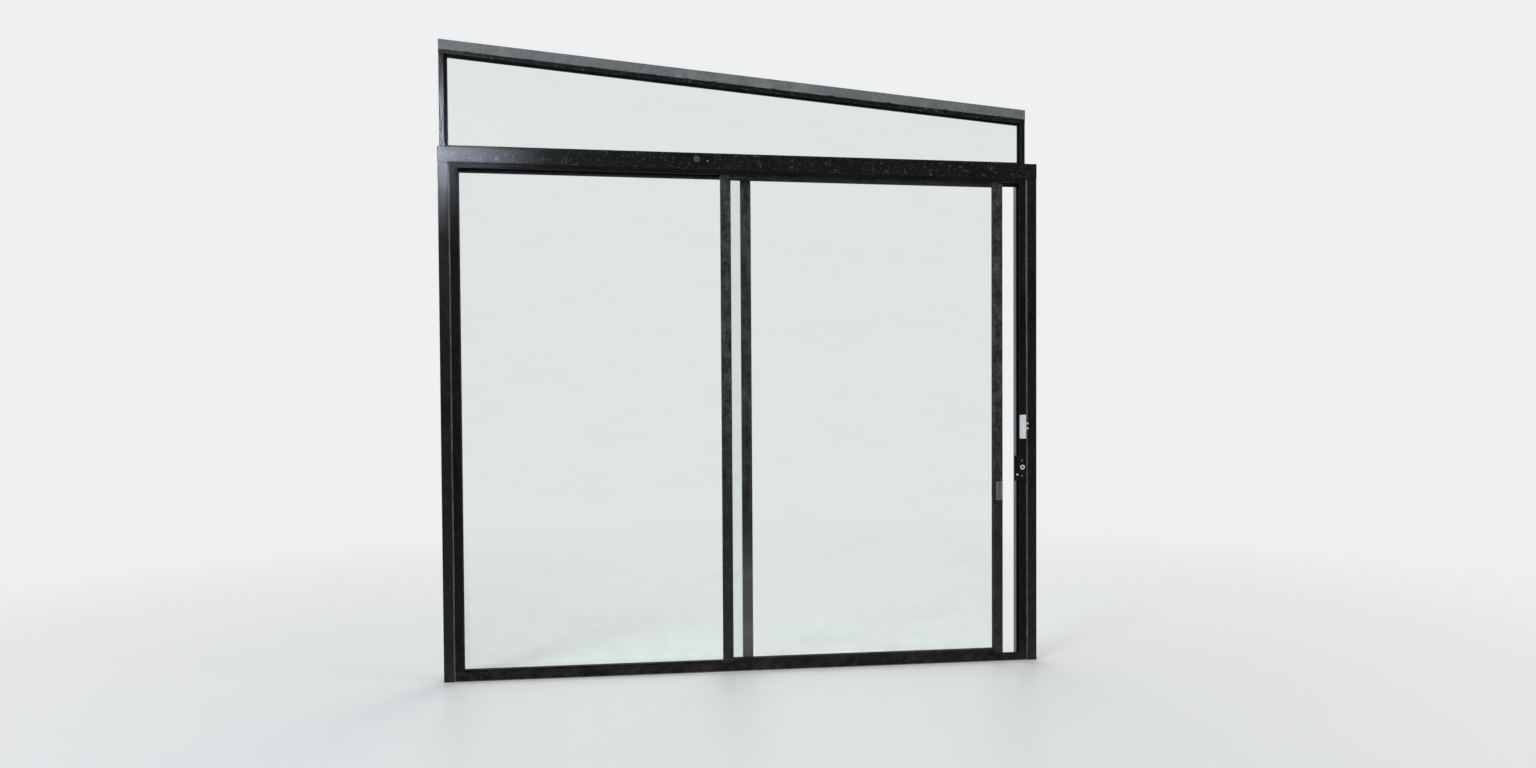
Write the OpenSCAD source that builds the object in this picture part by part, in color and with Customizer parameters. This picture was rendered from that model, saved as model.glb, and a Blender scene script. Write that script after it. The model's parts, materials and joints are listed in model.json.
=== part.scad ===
// Glazed end wall of a container cabin: a two-panel sliding door in a steel frame,
// with a sloped transom light over it. The right-hand panel slides on the room side.
// X runs along the wall, -Y faces the room, +Z is up. The origin is on the floor,
// under the middle of the sill. All sizes are in millimetres.

/* [Wall] */
// Width over the two posts
wall_w = 3040; // [2400:10:3600]
// Height of the header's underside
door_head_z = 2556; // [2200:1:2700]
// Height of the transom's opening at its low end
transom_low_h = 213; // [120:1:500]
// Fall of the rafter to the right, in degrees
slope = 4.6; // [2:0.1:6]
// Distance of the left stud from the wall's left end
left_set_in = 10; // [0:1:60]
// Distance of the right stud from the wall's right end
right_set_in = 64; // [0:1:90]

/* [Steel] */
// Depth of the posts, the header and the rafter, front to back
steel_d = 100; // [98:1:120]
// Width of a post
post_w = 50; // [40:1:80]
// Height of the header
header_h = 78; // [50:1:100]
// Width of a stud beside the transom
stud_w = 26; // [20:1:40]
// Height of the head rail over the transom
head_rail_h = 20; // [16:1:40]
// Depth of the studs and of the head rail
stud_d = 50; // [40:1:80]
// Height of the rafter, a channel with its mouth down
rafter_h = 50; // [40:1:80]
// Width of the rafter's lips
rafter_lip = 15; // [10:1:25]
// Wall thickness of the tubes
steel_t = 2; // [1.5:0.1:4]
// Outer corner radius of the posts, the header and the rafter
steel_r = 4; // [3:0.5:6]
// Outer corner radius of the studs and of the head rail
stud_r = 3; // [2.5:0.5:4]
// Thickness of the plates that close the header's ends
cap_t = 3; // [2:0.5:5]

/* [Door frame] */
// Depth of the door frame
frame_d = 94; // [92:1:97]
// Width of a jamb's face
jamb_w = 42; // [36:1:60]
// Width of a jamb's middle fin
jamb_mid_w = 28; // [26:1:36]
// Width of a jamb's fin on the weather side
jamb_back_w = 20; // [18:1:30]
// Depth of the jamb's hollow back
jamb_box = 14; // [10:1:18]
// Height of the head track
head_h = 20; // [18:1:36]
// Height of the sill's upstand on the room side
sill_front_h = 44; // [30:1:48]
// Height of the sill's middle upstand
sill_mid_h = 26; // [18:1:28]
// Height of the sill's upstand on the weather side
sill_back_h = 18; // [14:1:24]
// Thickness of the frame's fins and webs
fin_t = 2.2; // [1.6:0.1:3]
// Height of the rails that the rollers run on
track_h = 14; // [10:0.5:16]
// Radius of the bead along the top of a track rail
track_r = 2.2; // [1.6:0.1:2.6]
// Width of a weep slot in the sill
weep_w = 30; // [15:1:50]
// Height of a weep slot
weep_h = 6; // [4:1:9]
// Distance from the end of the sill to the first weep slot
weep_in = 260; // [100:10:600]
// Number of weep slots
weep_n = 4; // [2:1:8]
// Sealed joint between the door frame and the steel
seal_t = 3; // [2:0.5:6]

/* [Panels] */
// Thickness of a panel
sash_t = 31.5; // [29:0.5:31.5]
// Width of a stile
stile_w = 52; // [46:1:64]
// Height of the sliding panel's top rail
top_rail_h = 24; // [22:1:50]
// Height of the sliding panel's bottom rail
bottom_rail_h = 50; // [48:1:80]
// Height of the fixed panel's bottom rail
fixed_rail_h = 24; // [20:1:60]
// Depth of the fixed panel's glazing channels
fixed_channel_h = 24; // [20:1:30]
// Wall thickness of the panel sections
sash_wall = 1.8; // [1.4:0.1:2.2]
// Gap under the sliding panel, down to the floor
sash_lift = 14; // [13:0.5:18]
// Gap over the panels, under the web of the head
top_gap = 14; // [10:1:18]
// How far the panel stands from closed in the photographed pose
ajar = 105; // [0:1:300]
// Middle of the meeting stiles, from the wall's middle
meeting_x = -16; // [-60:1:60]
// Length of the fins that overlap between the meeting stiles
interlock_l = 8.6; // [7.8:0.1:9]
// Distance between those fins when the door is closed
interlock_gap = 6; // [5:0.5:10]

/* [Glazing] */
// Thickness of the glass
glass_t = 6; // [4:1:8]
// Thickness of the rubber on each side of the glass
rubber_t = 3; // [2:0.5:3.5]
// Depth of the pocket that holds the glass
pocket_d = 14; // [10:1:15]
// Bite of the rails and stiles on the glass
glass_bite = 10; // [7:1:10]
// How far the rubber shows past the pocket
rubber_lip = 1.5; // [1:0.5:3]
// Wall thickness of the transom's glazing channels
channel_t = 1.6; // [1.2:0.1:2]
// Height of the transom's glazing channels
channel_h = 8; // [7:0.5:14]
// Gap between the edge of the glass and its channel
edge_gap = 1; // [0.5:0.5:2]

/* [Hardware] */
// Diameter of a roller over its flanges
wheel_d = 28; // [24:1:30]
// Width of a roller
wheel_w = 10; // [9:0.5:12]
// Depth of a roller's groove
groove_d = 2.5; // [2:0.1:3.5]
// Running gap between a roller and its rail
wheel_gap = 0.4; // [0.2:0.1:1]
// Diameter of a roller's axle
axle_d = 6; // [4:0.5:8]
// Distance from a roller to the panel's end
roller_in = 130; // [110:1:300]
// Length of a roller carriage
carriage_l = 70; // [50:1:100]
// Length of a top guide block
guide_l = 45; // [30:1:48]
// Height of a top guide block over the panel
guide_h = 8; // [6:0.5:9]
// Running gap beside a top guide block
guide_gap = 1.5; // [1:0.1:3]
// Height of the flush pull's middle
pull_z = 905; // [800:1:1300]
// Height of the flush pull
pull_h = 96; // [70:1:140]
// Width of the flush pull
pull_w = 32; // [24:1:34]
// Depth of the finger recess
pull_d = 12; // [8:1:16]
// Height of the lock's middle
lock_z = 1025; // [1022:1:1300]
// Height of the keeper plate on the jamb
keeper_h = 136; // [100:1:180]
// Thickness of the keeper plate
keeper_t = 2.5; // [1.5:0.5:3]
// Thickness of the rubber buffers in the right jamb
close_buffer_t = 6; // [4:1:8]
// Thickness of the rubber buffers in the left jamb
open_buffer_t = 14; // [6:1:15]
// Clear distance that is left when the panel reaches a buffer
stop_gap = 5; // [5:0.5:8]

/* [Junction box] */
// Height of the box's middle
box_z = 1245; // [1150:1:1500]
// Height of the box
box_h = 126; // [80:1:160]
// Width of the box
box_w = 26; // [24:1:38]
// Depth of the box with its cover
box_d = 30; // [20:1:40]
// Wall thickness of the box
box_t = 2; // [1.5:0.1:3]

/* [Hidden] */
$fn = 32;
eps = 0.01;

// Outline of the wall
left_x = -wall_w / 2;
right_x = wall_w / 2;
header_top_z = door_head_z + header_h;

// Door frame: outside faces, fin edges and pocket floors
frame_l = left_x + post_w + seal_t;
frame_r = right_x - post_w - seal_t;
frame_top = door_head_z - seal_t;
fin_edge_l = frame_l + jamb_w;
fin_edge_r = frame_r - jamb_w;
pocket_l = frame_l + jamb_box;
pocket_r = frame_r - jamb_box;
frame_y = frame_d / 2;
track_w = frame_y - fin_t - fin_t / 2;
track_y = fin_t / 2 + track_w / 2;
head_web_z = frame_top - fin_t;
head_fin_z = frame_top - head_h;
jamb_bottom = fin_t;
track_top = fin_t + track_h;

// Sliding panel, drawn in the photographed pose
sash_top = head_web_z - top_gap;
sash_closed_r = pocket_r - close_buffer_t - stop_gap;
sash_w = sash_closed_r - (meeting_x - stile_w / 2);
sash_r = sash_closed_r - ajar;
sash_l = sash_r - sash_w;
sash_rail_top = sash_lift + bottom_rail_h;
sash_rail_low = sash_top - top_rail_h;

// Fixed panel, on the weather-side track
fixed_r = meeting_x + stile_w / 2;
fixed_bottom = track_top + track_r;
fixed_rail_top = fixed_bottom + fixed_rail_h;
fixed_channel_low = head_web_z - fixed_channel_h;

// Glazing
slot_t = glass_t + 2 * rubber_t;
transom_l = left_x + left_set_in + stud_w;
transom_r = right_x - right_set_in - stud_w;
rafter_l = left_x + left_set_in;
rafter_r = right_x - right_set_in;
transom_y = -steel_d / 2 + stud_d / 2;
channel_d = slot_t + 4 * channel_t;

// Rollers
cavity_t = sash_t - 2 * sash_wall;
wheel_run_r = wheel_d / 2 - groove_d;
wheel_z = track_top + track_r + wheel_gap + wheel_run_r;
carriage_t = 1.5;
carriage_w = wheel_w + 6;
axle_gap = 0.1;

// Lock and pull
lock_h = 120;
lock_slot = 12;
flange_t = 1;
pull_wall = 1.5;
flange_edge = 4;
lock_stile_x = sash_r - stile_w / 2 + pocket_d / 2;

// Height of the head rail's underside over a place along the wall
function opening_z(x) = header_top_z + transom_low_h + (transom_r - x) * tan(slope);
opening_left_z = opening_z(left_x);

// Section with rounded corners, centred
module rounded(w, h, r) {
    square([w - 2 * r, h], center = true);
    square([w, h - 2 * r], center = true);
    for (x = [-1, 1], y = [-1, 1])
        translate([x * (w / 2 - r), y * (h / 2 - r)]) circle(r);
}

// Tube section, centred
module tube(w, h, t, r) {
    difference() {
        rounded(w, h, r);
        rounded(w - 2 * t, h - 2 * t, r - t);
    }
}

// Extrudes a section drawn in Y and Z along X
module along_x(x0, x1) {
    translate([x0, 0, 0]) rotate([90, 0, 90]) linear_extrude(x1 - x0) children();
}

// Extrudes a section drawn in X and Y up Z
module along_z(z0, z1) {
    translate([0, 0, z0]) linear_extrude(z1 - z0) children();
}

// Extrudes an outline drawn in X and Z along Y
module along_y(y0, y1) {
    translate([0, y1, 0]) rotate([90, 0, 0]) linear_extrude(y1 - y0) children();
}

// Runs a section drawn in Y and Z down the roof's slope, cut plumb at both ends.
// Its zero height is the head rail's underside.
module down_slope(x0, x1) {
    high = 2 * opening_left_z;
    intersection() {
        translate([left_x, 0, opening_left_z]) rotate([0, slope, 0])
            along_x(-steel_d, 1.1 * wall_w) children();
        translate([x0, -steel_d, 0]) cube([x1 - x0, 2 * steel_d, high]);
    }
}

// Outline of the transom's opening, drawn in by d on every side
module transom_outline(d) {
    x0 = transom_l + d;
    x1 = transom_r - d;
    z0 = header_top_z + d;
    drop = d / cos(slope);
    polygon([[x0, z0], [x1, z0], [x1, opening_z(x1) - drop], [x0, opening_z(x0) - drop]]);
}

// Space under the head rail, and d below it
module under_head_rail(d) {
    drop = d / cos(slope);
    along_y(-steel_d, steel_d) polygon([
        [left_x, 0], [right_x, 0],
        [right_x, opening_z(right_x) - drop], [left_x, opening_left_z - drop]
    ]);
}

// Steel frame
module post(x) {
    color("#15161a") along_z(0, door_head_z)
        translate([x + post_w / 2, 0]) tube(post_w, steel_d, steel_t, steel_r);
}
module left_post() { post(left_x); }
module right_post() { post(right_x - post_w); }

// The header lies on the posts, and a welded plate closes each of its ends
module header_beam() {
    color("#15161a") along_x(left_x + cap_t, right_x - cap_t)
        translate([0, door_head_z + header_h / 2]) tube(steel_d, header_h, steel_t, steel_r);
}
module header_caps() {
    color("#15161a") for (x = [left_x, right_x - cap_t]) along_x(x, x + cap_t)
        translate([0, door_head_z + header_h / 2]) rounded(steel_d, header_h, steel_r);
}

module stud(x) {
    color("#15161a") intersection() {
        along_z(header_top_z, opening_left_z)
            translate([x + stud_w / 2, transom_y]) tube(stud_w, stud_d, steel_t, stud_r);
        under_head_rail(0);
    }
}
module left_stud() { stud(rafter_l); }
module right_stud() { stud(transom_r); }

module head_rail() {
    color("#15161a") down_slope(rafter_l, rafter_r)
        translate([transom_y, head_rail_h / 2]) tube(stud_d, head_rail_h, steel_t, stud_r);
}

// The rafter is a lipped channel: its web carries the roof sheets, its mouth is down
module rafter() {
    mouth = steel_d - 2 * rafter_lip;
    color("#7b8284") down_slope(rafter_l, rafter_r) translate([0, head_rail_h]) difference() {
        translate([0, rafter_h / 2]) tube(steel_d, rafter_h, steel_t, steel_r);
        translate([-mouth / 2, -steel_t]) square([mouth, 2 * steel_t + eps]);
    }
}

// Folded cleat on the rafter's room-side flange, at its right end
module rafter_cleat() {
    leg = 18;
    foot = 44;
    foot_h = 9;
    cleat_t = 2;
    color("#a8aaac") translate([rafter_r, -steel_d / 2, opening_z(rafter_r)])
        along_y(-cleat_t, 0) polygon([
            [0, head_rail_h], [0, head_rail_h + rafter_h - steel_r],
            [-leg, head_rail_h + rafter_h - steel_r + leg * tan(slope)],
            [-leg, head_rail_h + foot_h + leg * tan(slope)],
            [-foot, head_rail_h + foot_h + foot * tan(slope)],
            [-foot, head_rail_h + foot * tan(slope)]
        ]);
}

// Glazing channel section: its web is on y = 0 and its mouth faces +Y of the drawing
module channel_section() {
    difference() {
        translate([-channel_d / 2, 0]) square([channel_d, channel_h]);
        translate([-slot_t / 2, channel_t]) square([slot_t, channel_h]);
    }
}

module transom_bottom_channel() {
    color("#101114") along_x(transom_l, transom_r)
        translate([transom_y, header_top_z]) channel_section();
}

module transom_top_channel() {
    color("#101114") down_slope(transom_l, transom_r)
        translate([transom_y, 0]) mirror([0, 1]) channel_section();
}

module transom_side_channel(x, side) {
    color("#101114") intersection() {
        along_z(header_top_z + channel_h, opening_left_z)
            translate([x, transom_y]) rotate(-90 * side) channel_section();
        under_head_rail(channel_h);
    }
}
module transom_left_channel() { transom_side_channel(transom_l, 1); }
module transom_right_channel() { transom_side_channel(transom_r, -1); }

module transom_glass() {
    edge = channel_t + edge_gap;
    color("#bfe0d2", 0.4) along_y(transom_y - glass_t / 2, transom_y + glass_t / 2)
        transom_outline(edge);
}

module transom_gasket() {
    edge = channel_t + edge_gap;
    color("#0b0b0c") difference() {
        along_y(transom_y - slot_t / 2, transom_y + slot_t / 2) difference() {
            transom_outline(channel_t);
            transom_outline(channel_h + rubber_lip);
        }
        along_y(transom_y - glass_t / 2, transom_y + glass_t / 2) transom_outline(edge);
    }
}

// Door frame
module frame_head() {
    color("#101114") along_x(frame_l, frame_r) {
        translate([-frame_y, head_web_z]) square([frame_d, fin_t]);
        for (y = [-frame_y, -fin_t / 2, frame_y - fin_t])
            translate([y, head_fin_z]) square([fin_t, head_h]);
    }
}

// The weather-side upstand has slots that let rain out of the tracks
module frame_sill() {
    step = (frame_r - frame_l - 2 * weep_in) / (weep_n - 1);
    color("#101114") difference() {
        sill_bar();
        for (i = [0 : weep_n - 1])
            translate([frame_l + weep_in + i * step - weep_w / 2, frame_y - 2 * fin_t, fin_t])
                cube([weep_w, 3 * fin_t, weep_h]);
    }
}

module sill_bar() {
    along_x(frame_l, frame_r) {
        translate([-frame_y, 0]) square([frame_d, fin_t]);
        translate([-frame_y, 0]) square([fin_t, sill_front_h]);
        translate([-fin_t / 2, 0]) square([fin_t, sill_mid_h]);
        translate([frame_y - fin_t, 0]) square([fin_t, sill_back_h]);
        for (y = [-track_y, track_y]) {
            translate([y - fin_t / 2, 0]) square([fin_t, track_top]);
            translate([y, track_top]) circle(track_r);
        }
    }
}

// Jamb section, with its back on x = 0 and its pockets open to +X. Its fins step back
// towards the weather, as those of the sill do.
module jamb_section() {
    translate([0, -frame_y]) square([fin_t, frame_d]);
    translate([jamb_box - fin_t, -frame_y]) square([fin_t, frame_d]);
    translate([0, -frame_y]) square([jamb_w, fin_t]);
    translate([0, -fin_t / 2]) square([jamb_mid_w, fin_t]);
    translate([0, frame_y - fin_t]) square([jamb_back_w, fin_t]);
}

// The jambs stand in the sill and reach up into the head, cut round their fins
module jamb(x, side) {
    color("#101114") difference() {
        along_z(jamb_bottom, head_web_z)
            translate([x, 0]) scale([side, 1]) jamb_section();
        jamb_cuts();
    }
}

// What the head and the sill take out of a jamb's ends
module jamb_cuts() {
    gap = 0.2;
    along_x(left_x, right_x) {
        for (y = [-frame_y, -fin_t / 2, frame_y - fin_t])
            translate([y - gap, head_fin_z - gap]) square([fin_t + 2 * gap, head_h]);
        translate([-frame_y - gap, 0]) square([fin_t + 2 * gap, sill_front_h + gap]);
        translate([-fin_t / 2 - gap, 0]) square([fin_t + 2 * gap, sill_mid_h + gap]);
        translate([frame_y - fin_t - gap, 0]) square([fin_t + 2 * gap, sill_back_h + gap]);
        for (y = [-track_y, track_y])
            translate([y - track_r - gap, 0])
                square([2 * (track_r + gap), track_top + track_r + gap]);
    }
}
module frame_left_jamb() { jamb(frame_l, 1); }
module frame_right_jamb() { jamb(frame_r, -1); }

// Sealant between the door frame and the steel
module perimeter_seal() {
    color("#6d6a70") {
        for (x = [left_x + post_w, frame_r])
            translate([x, -frame_y, 0]) cube([seal_t, frame_d, frame_top]);
        translate([left_x + post_w, -frame_y, frame_top])
            cube([wall_w - 2 * post_w, frame_d, seal_t]);
    }
}

// Stile section: outer edge on x = 0, pocket for the glass open to +X
module stile_section() {
    chamber = stile_w - pocket_d - 2 * sash_wall;
    cheek = (sash_t - slot_t) / 2 - 2 * sash_wall;
    difference() {
        translate([stile_w / 2, 0]) rounded(stile_w, sash_t, sash_wall);
        translate([sash_wall, -sash_t / 2 + sash_wall]) square([chamber, cavity_t]);
        translate([stile_w - pocket_d, -slot_t / 2]) square([pocket_d + eps, slot_t]);
        for (side = [-1, 1])
            translate([stile_w - pocket_d, side * (slot_t / 2 + sash_wall + cheek / 2) - cheek / 2])
                square([pocket_d - sash_wall, cheek]);
    }
}

// Rail section in Y and Z: lower edge on z = 0, pocket for the glass open upwards
module rail_section(h) {
    chamber = h - pocket_d - sash_wall;
    cheek = (sash_t - slot_t) / 2 - 2 * sash_wall;
    difference() {
        translate([0, h / 2]) rounded(sash_t, h, sash_wall);
        translate([-cavity_t / 2, -eps]) square([cavity_t, chamber + eps]);
        translate([-slot_t / 2, h - pocket_d]) square([slot_t, pocket_d + eps]);
        for (side = [-1, 1])
            translate([side * (slot_t / 2 + sash_wall + cheek / 2) - cheek / 2, h - pocket_d])
                square([cheek, pocket_d - sash_wall]);
    }
}

// Pane and rubber for a panel, between the inner edges of its frame
module pane(x0, x1, z0, z1, y) {
    color("#bfe0d2", 0.4)
        translate([x0 - glass_bite, y - glass_t / 2, z0 - glass_bite])
            cube([x1 - x0 + 2 * glass_bite, glass_t, z1 - z0 + 2 * glass_bite]);
}
module pane_rubber(x0, x1, z0, z1, y, bite) {
    color("#0b0b0c") difference() {
        translate([x0 - bite, y - slot_t / 2, z0 - bite])
            cube([x1 - x0 + 2 * bite, slot_t, z1 - z0 + 2 * bite]);
        translate([x0 + rubber_lip, y - slot_t, z0 + rubber_lip])
            cube([x1 - x0 - 2 * rubber_lip, 2 * slot_t, z1 - z0 - 2 * rubber_lip]);
        pane(x0, x1, z0, z1, y);
    }
}

// Fin that overlaps its partner between the meeting stiles
module interlock(x, y, side) {
    z0 = sill_mid_h + stop_gap;
    z1 = head_fin_z - stop_gap;
    y0 = side > 0 ? y - sash_t / 2 - interlock_l : y + sash_t / 2 - sash_wall;
    translate([x, y0, z0]) cube([sash_wall, interlock_l + sash_wall, z1 - z0]);
}
interlock_x = stile_w * 0.3;

// Fixed panel
module fixed_left_channel() {
    color("#101114") along_z(fixed_rail_top, fixed_channel_low) translate([pocket_l, track_y])
        difference() {
            translate([0, -sash_t / 2]) square([pocket_d, sash_t]);
            translate([pocket_d - glass_bite - edge_gap, -slot_t / 2]) square([pocket_d, slot_t]);
        }
}

module fixed_top_channel() {
    color("#101114") along_x(pocket_l, fixed_r - stile_w) translate([track_y, 0])
        difference() {
            translate([-sash_t / 2, fixed_channel_low]) square([sash_t, fixed_channel_h]);
            translate([-slot_t / 2, fixed_channel_low - eps]) square([slot_t, pocket_d + eps]);
        }
}

module fixed_bottom_rail() {
    color("#101114") along_x(pocket_l, fixed_r - stile_w)
        translate([track_y, fixed_bottom]) rail_section(fixed_rail_h);
}

module fixed_meeting_stile() {
    color("#101114") {
        along_z(fixed_bottom, head_web_z) translate([fixed_r, track_y])
            rotate(180) stile_section();
        interlock(fixed_r - stile_w + interlock_x + interlock_gap + sash_wall, track_y, 1);
    }
}

module fixed_glass() {
    pane(pocket_l + pocket_d, fixed_r - stile_w, fixed_rail_top, fixed_channel_low, track_y);
}
module fixed_gasket() {
    pane_rubber(pocket_l + pocket_d, fixed_r - stile_w, fixed_rail_top, fixed_channel_low,
        track_y, glass_bite + edge_gap);
}

// Notch in the feet of the sliding panel's stiles, clear of the track rail
module track_notch() {
    half = track_r + stop_gap;
    translate([left_x, -track_y - half, 0])
        cube([wall_w, 2 * half, track_top + track_r + stop_gap]);
}

// Sliding panel
module sash_meeting_stile() {
    color("#101114") difference() {
        union() {
            along_z(sash_lift, sash_top) translate([sash_l, -track_y]) stile_section();
            interlock(sash_l + interlock_x, -track_y, -1);
        }
        track_notch();
    }
}

module sash_lock_stile() {
    color("#101114") difference() {
        along_z(sash_lift, sash_top) translate([sash_r, -track_y]) rotate(180) stile_section();
        translate([lock_stile_x - (pull_w - 2 * flange_edge) / 2, -track_y - sash_t,
            pull_z - pull_h / 2 + flange_edge])
            cube([pull_w - 2 * flange_edge, sash_t, pull_h - 2 * flange_edge]);
        translate([sash_r - stile_w / 2, -track_y - lock_slot / 2, lock_z - lock_h / 2])
            cube([stile_w, lock_slot, lock_h]);
        track_notch();
    }
}

module sash_top_rail() {
    color("#101114") along_x(sash_l + stile_w, sash_r - stile_w)
        translate([-track_y, sash_top]) mirror([0, 1]) rail_section(top_rail_h);
}
module sash_bottom_rail() {
    color("#101114") along_x(sash_l + stile_w, sash_r - stile_w)
        translate([-track_y, sash_lift]) rail_section(bottom_rail_h);
}

module sash_glass() {
    pane(sash_l + stile_w, sash_r - stile_w, sash_rail_top, sash_rail_low, -track_y);
}
module sash_gasket() {
    pane_rubber(sash_l + stile_w, sash_r - stile_w, sash_rail_top, sash_rail_low,
        -track_y, pocket_d);
}

// Places of the two rollers along the panel
roller_xs = [sash_l + roller_in, sash_r - roller_in];
carriage_top = sash_rail_top - pocket_d - sash_wall;

module roller_carriages() {
    color("#9a9ca0") for (x = roller_xs) translate([x, -track_y, 0]) difference() {
        translate([-carriage_l / 2, -cavity_t / 2, wheel_z - axle_d])
            cube([carriage_l, cavity_t, carriage_top - wheel_z + axle_d]);
        translate([-carriage_l / 2 - 1, -carriage_w / 2, wheel_z - axle_d - 1])
            cube([carriage_l + 2, carriage_w, carriage_top - wheel_z + axle_d + 1 - carriage_t]);
        translate([0, 0, wheel_z]) rotate([90, 0, 0])
            cylinder(d = axle_d, h = 2 * sash_t, center = true);
    }
}

// A grooved roller on its axle, turned in one piece
module roller_wheels() {
    rim = wheel_d / 2;
    half = wheel_w / 2;
    flange = 1;
    floor_y = track_r + 0.6;
    color("#d8d8d2") for (x = roller_xs) translate([x, -track_y, wheel_z]) rotate([90, 0, 0]) {
        rotate_extrude() polygon([
            [0, -half], [rim, -half], [rim, -half + flange], [wheel_run_r, -floor_y],
            [wheel_run_r, floor_y], [rim, half - flange], [rim, half], [0, half]
        ]);
        cylinder(d = axle_d - axle_gap, h = cavity_t - 1, center = true);
    }
}

// Blocks on the panel's top corners, each with a groove along its top
module top_guides() {
    guide_w = track_w - 2 * guide_gap;
    end_gap = 2;
    groove_w = 6;
    color("#2b2c2f") for (x = [sash_l + end_gap, sash_r - guide_l - end_gap])
        translate([x, -track_y - guide_w / 2, sash_top]) difference() {
            cube([guide_l, guide_w, guide_h]);
            translate([-1, (guide_w - groove_w) / 2, guide_h / 2])
                cube([guide_l + 2, groove_w, guide_h]);
        }
}

// Cup that lies in the stile's face, with a flange round its mouth
module flush_pull() {
    face = -track_y - sash_t / 2;
    cup_w = pull_w - 2 * flange_edge;
    cup_h = pull_h - 2 * flange_edge;
    color("#7c7e83") translate([lock_stile_x, face, pull_z]) difference() {
        union() {
            rotate([90, 0, 0]) linear_extrude(flange_t) rounded(pull_w, pull_h, 3);
            rotate([-90, 0, 0]) linear_extrude(pull_d + pull_wall) rounded(cup_w, cup_h, 2);
        }
        translate([0, pull_d, 0]) rotate([90, 0, 0]) linear_extrude(pull_d + flange_t + 1)
            rounded(cup_w - 2 * pull_wall, cup_h - 2 * pull_wall, 2);
    }
}

// Lock case inside the stile: its faceplate shows on the edge, with the hook drawn in
module lock_case() {
    plate_t = 2;
    case_d = 24;
    case_h = lock_h - 30;
    throat_h = case_h * 2 / 3;
    hook_t = 6;
    hook_l = 12;
    hook_h = 8;
    hook_set = 1;
    tip_h = 14;
    tip_w = 3;
    color("#8d9095") translate([sash_r, -track_y, lock_z]) {
        difference() {
            union() {
                translate([-plate_t, -lock_slot / 2, -lock_h / 2])
                    cube([plate_t, lock_slot, lock_h]);
                translate([-case_d, -lock_slot / 2, -case_h / 2])
                    cube([case_d - plate_t, lock_slot, case_h]);
            }
            translate([-case_d / 2, -hook_t / 2, -throat_h / 2])
                cube([case_d, hook_t, throat_h]);
        }
        translate([-hook_set - hook_l, -hook_t / 2, -tip_h]) cube([hook_l, hook_t, hook_h]);
        translate([-hook_set - tip_w, -hook_t / 2, -tip_h / 2]) cube([tip_w, hook_t, tip_h]);
    }
}

// Strike plate on the floor of the jamb's pocket, with the slot that the hook enters
module lock_strike() {
    strike_w = track_w - 2;
    strike_h = lock_h - 10;
    slot_w = 8;
    slot_h = 40;
    color("#8d9095") translate([pocket_r - keeper_t, -track_y, lock_z]) difference() {
        translate([0, -strike_w / 2, -strike_h / 2]) cube([keeper_t, strike_w, strike_h]);
        translate([-keeper_t, -slot_w / 2, -slot_h / 2]) cube([3 * keeper_t, slot_w, slot_h]);
    }
}

// Keeper: a bent plate over the jamb's room-side fin, level with the lock
module lock_keeper() {
    face = 30;
    hole_z = 40;
    hole_d = 5;
    color("#1d1e21") translate([fin_edge_r - keeper_t, -frame_y - keeper_t, lock_z]) difference() {
        translate([0, 0, -keeper_h / 2]) union() {
            cube([face, keeper_t, keeper_h]);
            cube([keeper_t, keeper_t + fin_t, keeper_h]);
        }
        for (side = [-1, 1])
            translate([(face + keeper_t) / 2, keeper_t / 2, side * hole_z])
                rotate([90, 0, 0]) cylinder(d = hole_d, h = 4 * keeper_t, center = true);
    }
}

// Rubber buffers in the jambs' pockets, at the bottom, in the middle and at the top
buffer_h = 30;
buffer_in = 60;
buffer_zs = [
    sill_front_h + buffer_in,
    (sill_front_h + head_fin_z) / 2,
    head_fin_z - buffer_in - buffer_h
];
module buffers(x, t) {
    color("#18181a") for (z = buffer_zs)
        translate([x, -track_y - sash_t / 4, z]) cube([t, sash_t / 2, buffer_h]);
}
module closing_buffers() { buffers(pocket_r - close_buffer_t, close_buffer_t); }
module opening_buffers() { buffers(pocket_l, open_buffer_t); }

// White surface box on the right jamb
box_set_in = 2;
box_x = fin_edge_r + box_set_in + box_w / 2;
box_seam = box_d * 0.6;
module junction_box() {
    color("#e9ecef") translate([box_x, -frame_y, box_z]) rotate([90, 0, 0]) difference() {
        linear_extrude(box_seam) rounded(box_w, box_h, 3);
        translate([0, 0, box_t]) linear_extrude(box_d)
            rounded(box_w - 2 * box_t, box_h - 2 * box_t, 2);
    }
}
module junction_box_cover() {
    color("#e9ecef") translate([box_x, -frame_y - box_seam, box_z]) rotate([90, 0, 0])
        difference() {
            linear_extrude(box_d - box_seam) rounded(box_w, box_h, 3);
            translate([0, 0, -1]) linear_extrude(box_d - box_seam - box_t + 1)
                rounded(box_w - 2 * box_t, box_h - 2 * box_t, 2);
        }
}

left_post();
right_post();
header_beam();
header_caps();
left_stud();
right_stud();
head_rail();
rafter();
rafter_cleat();
transom_bottom_channel();
transom_top_channel();
transom_left_channel();
transom_right_channel();
transom_gasket();
transom_glass();
frame_head();
frame_sill();
frame_left_jamb();
frame_right_jamb();
perimeter_seal();
fixed_left_channel();
fixed_top_channel();
fixed_bottom_rail();
fixed_meeting_stile();
fixed_gasket();
fixed_glass();
sash_meeting_stile();
sash_lock_stile();
sash_top_rail();
sash_bottom_rail();
sash_gasket();
sash_glass();
roller_carriages();
roller_wheels();
top_guides();
flush_pull();
lock_case();
lock_strike();
lock_keeper();
closing_buffers();
opening_buffers();
junction_box();
junction_box_cover();
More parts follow.
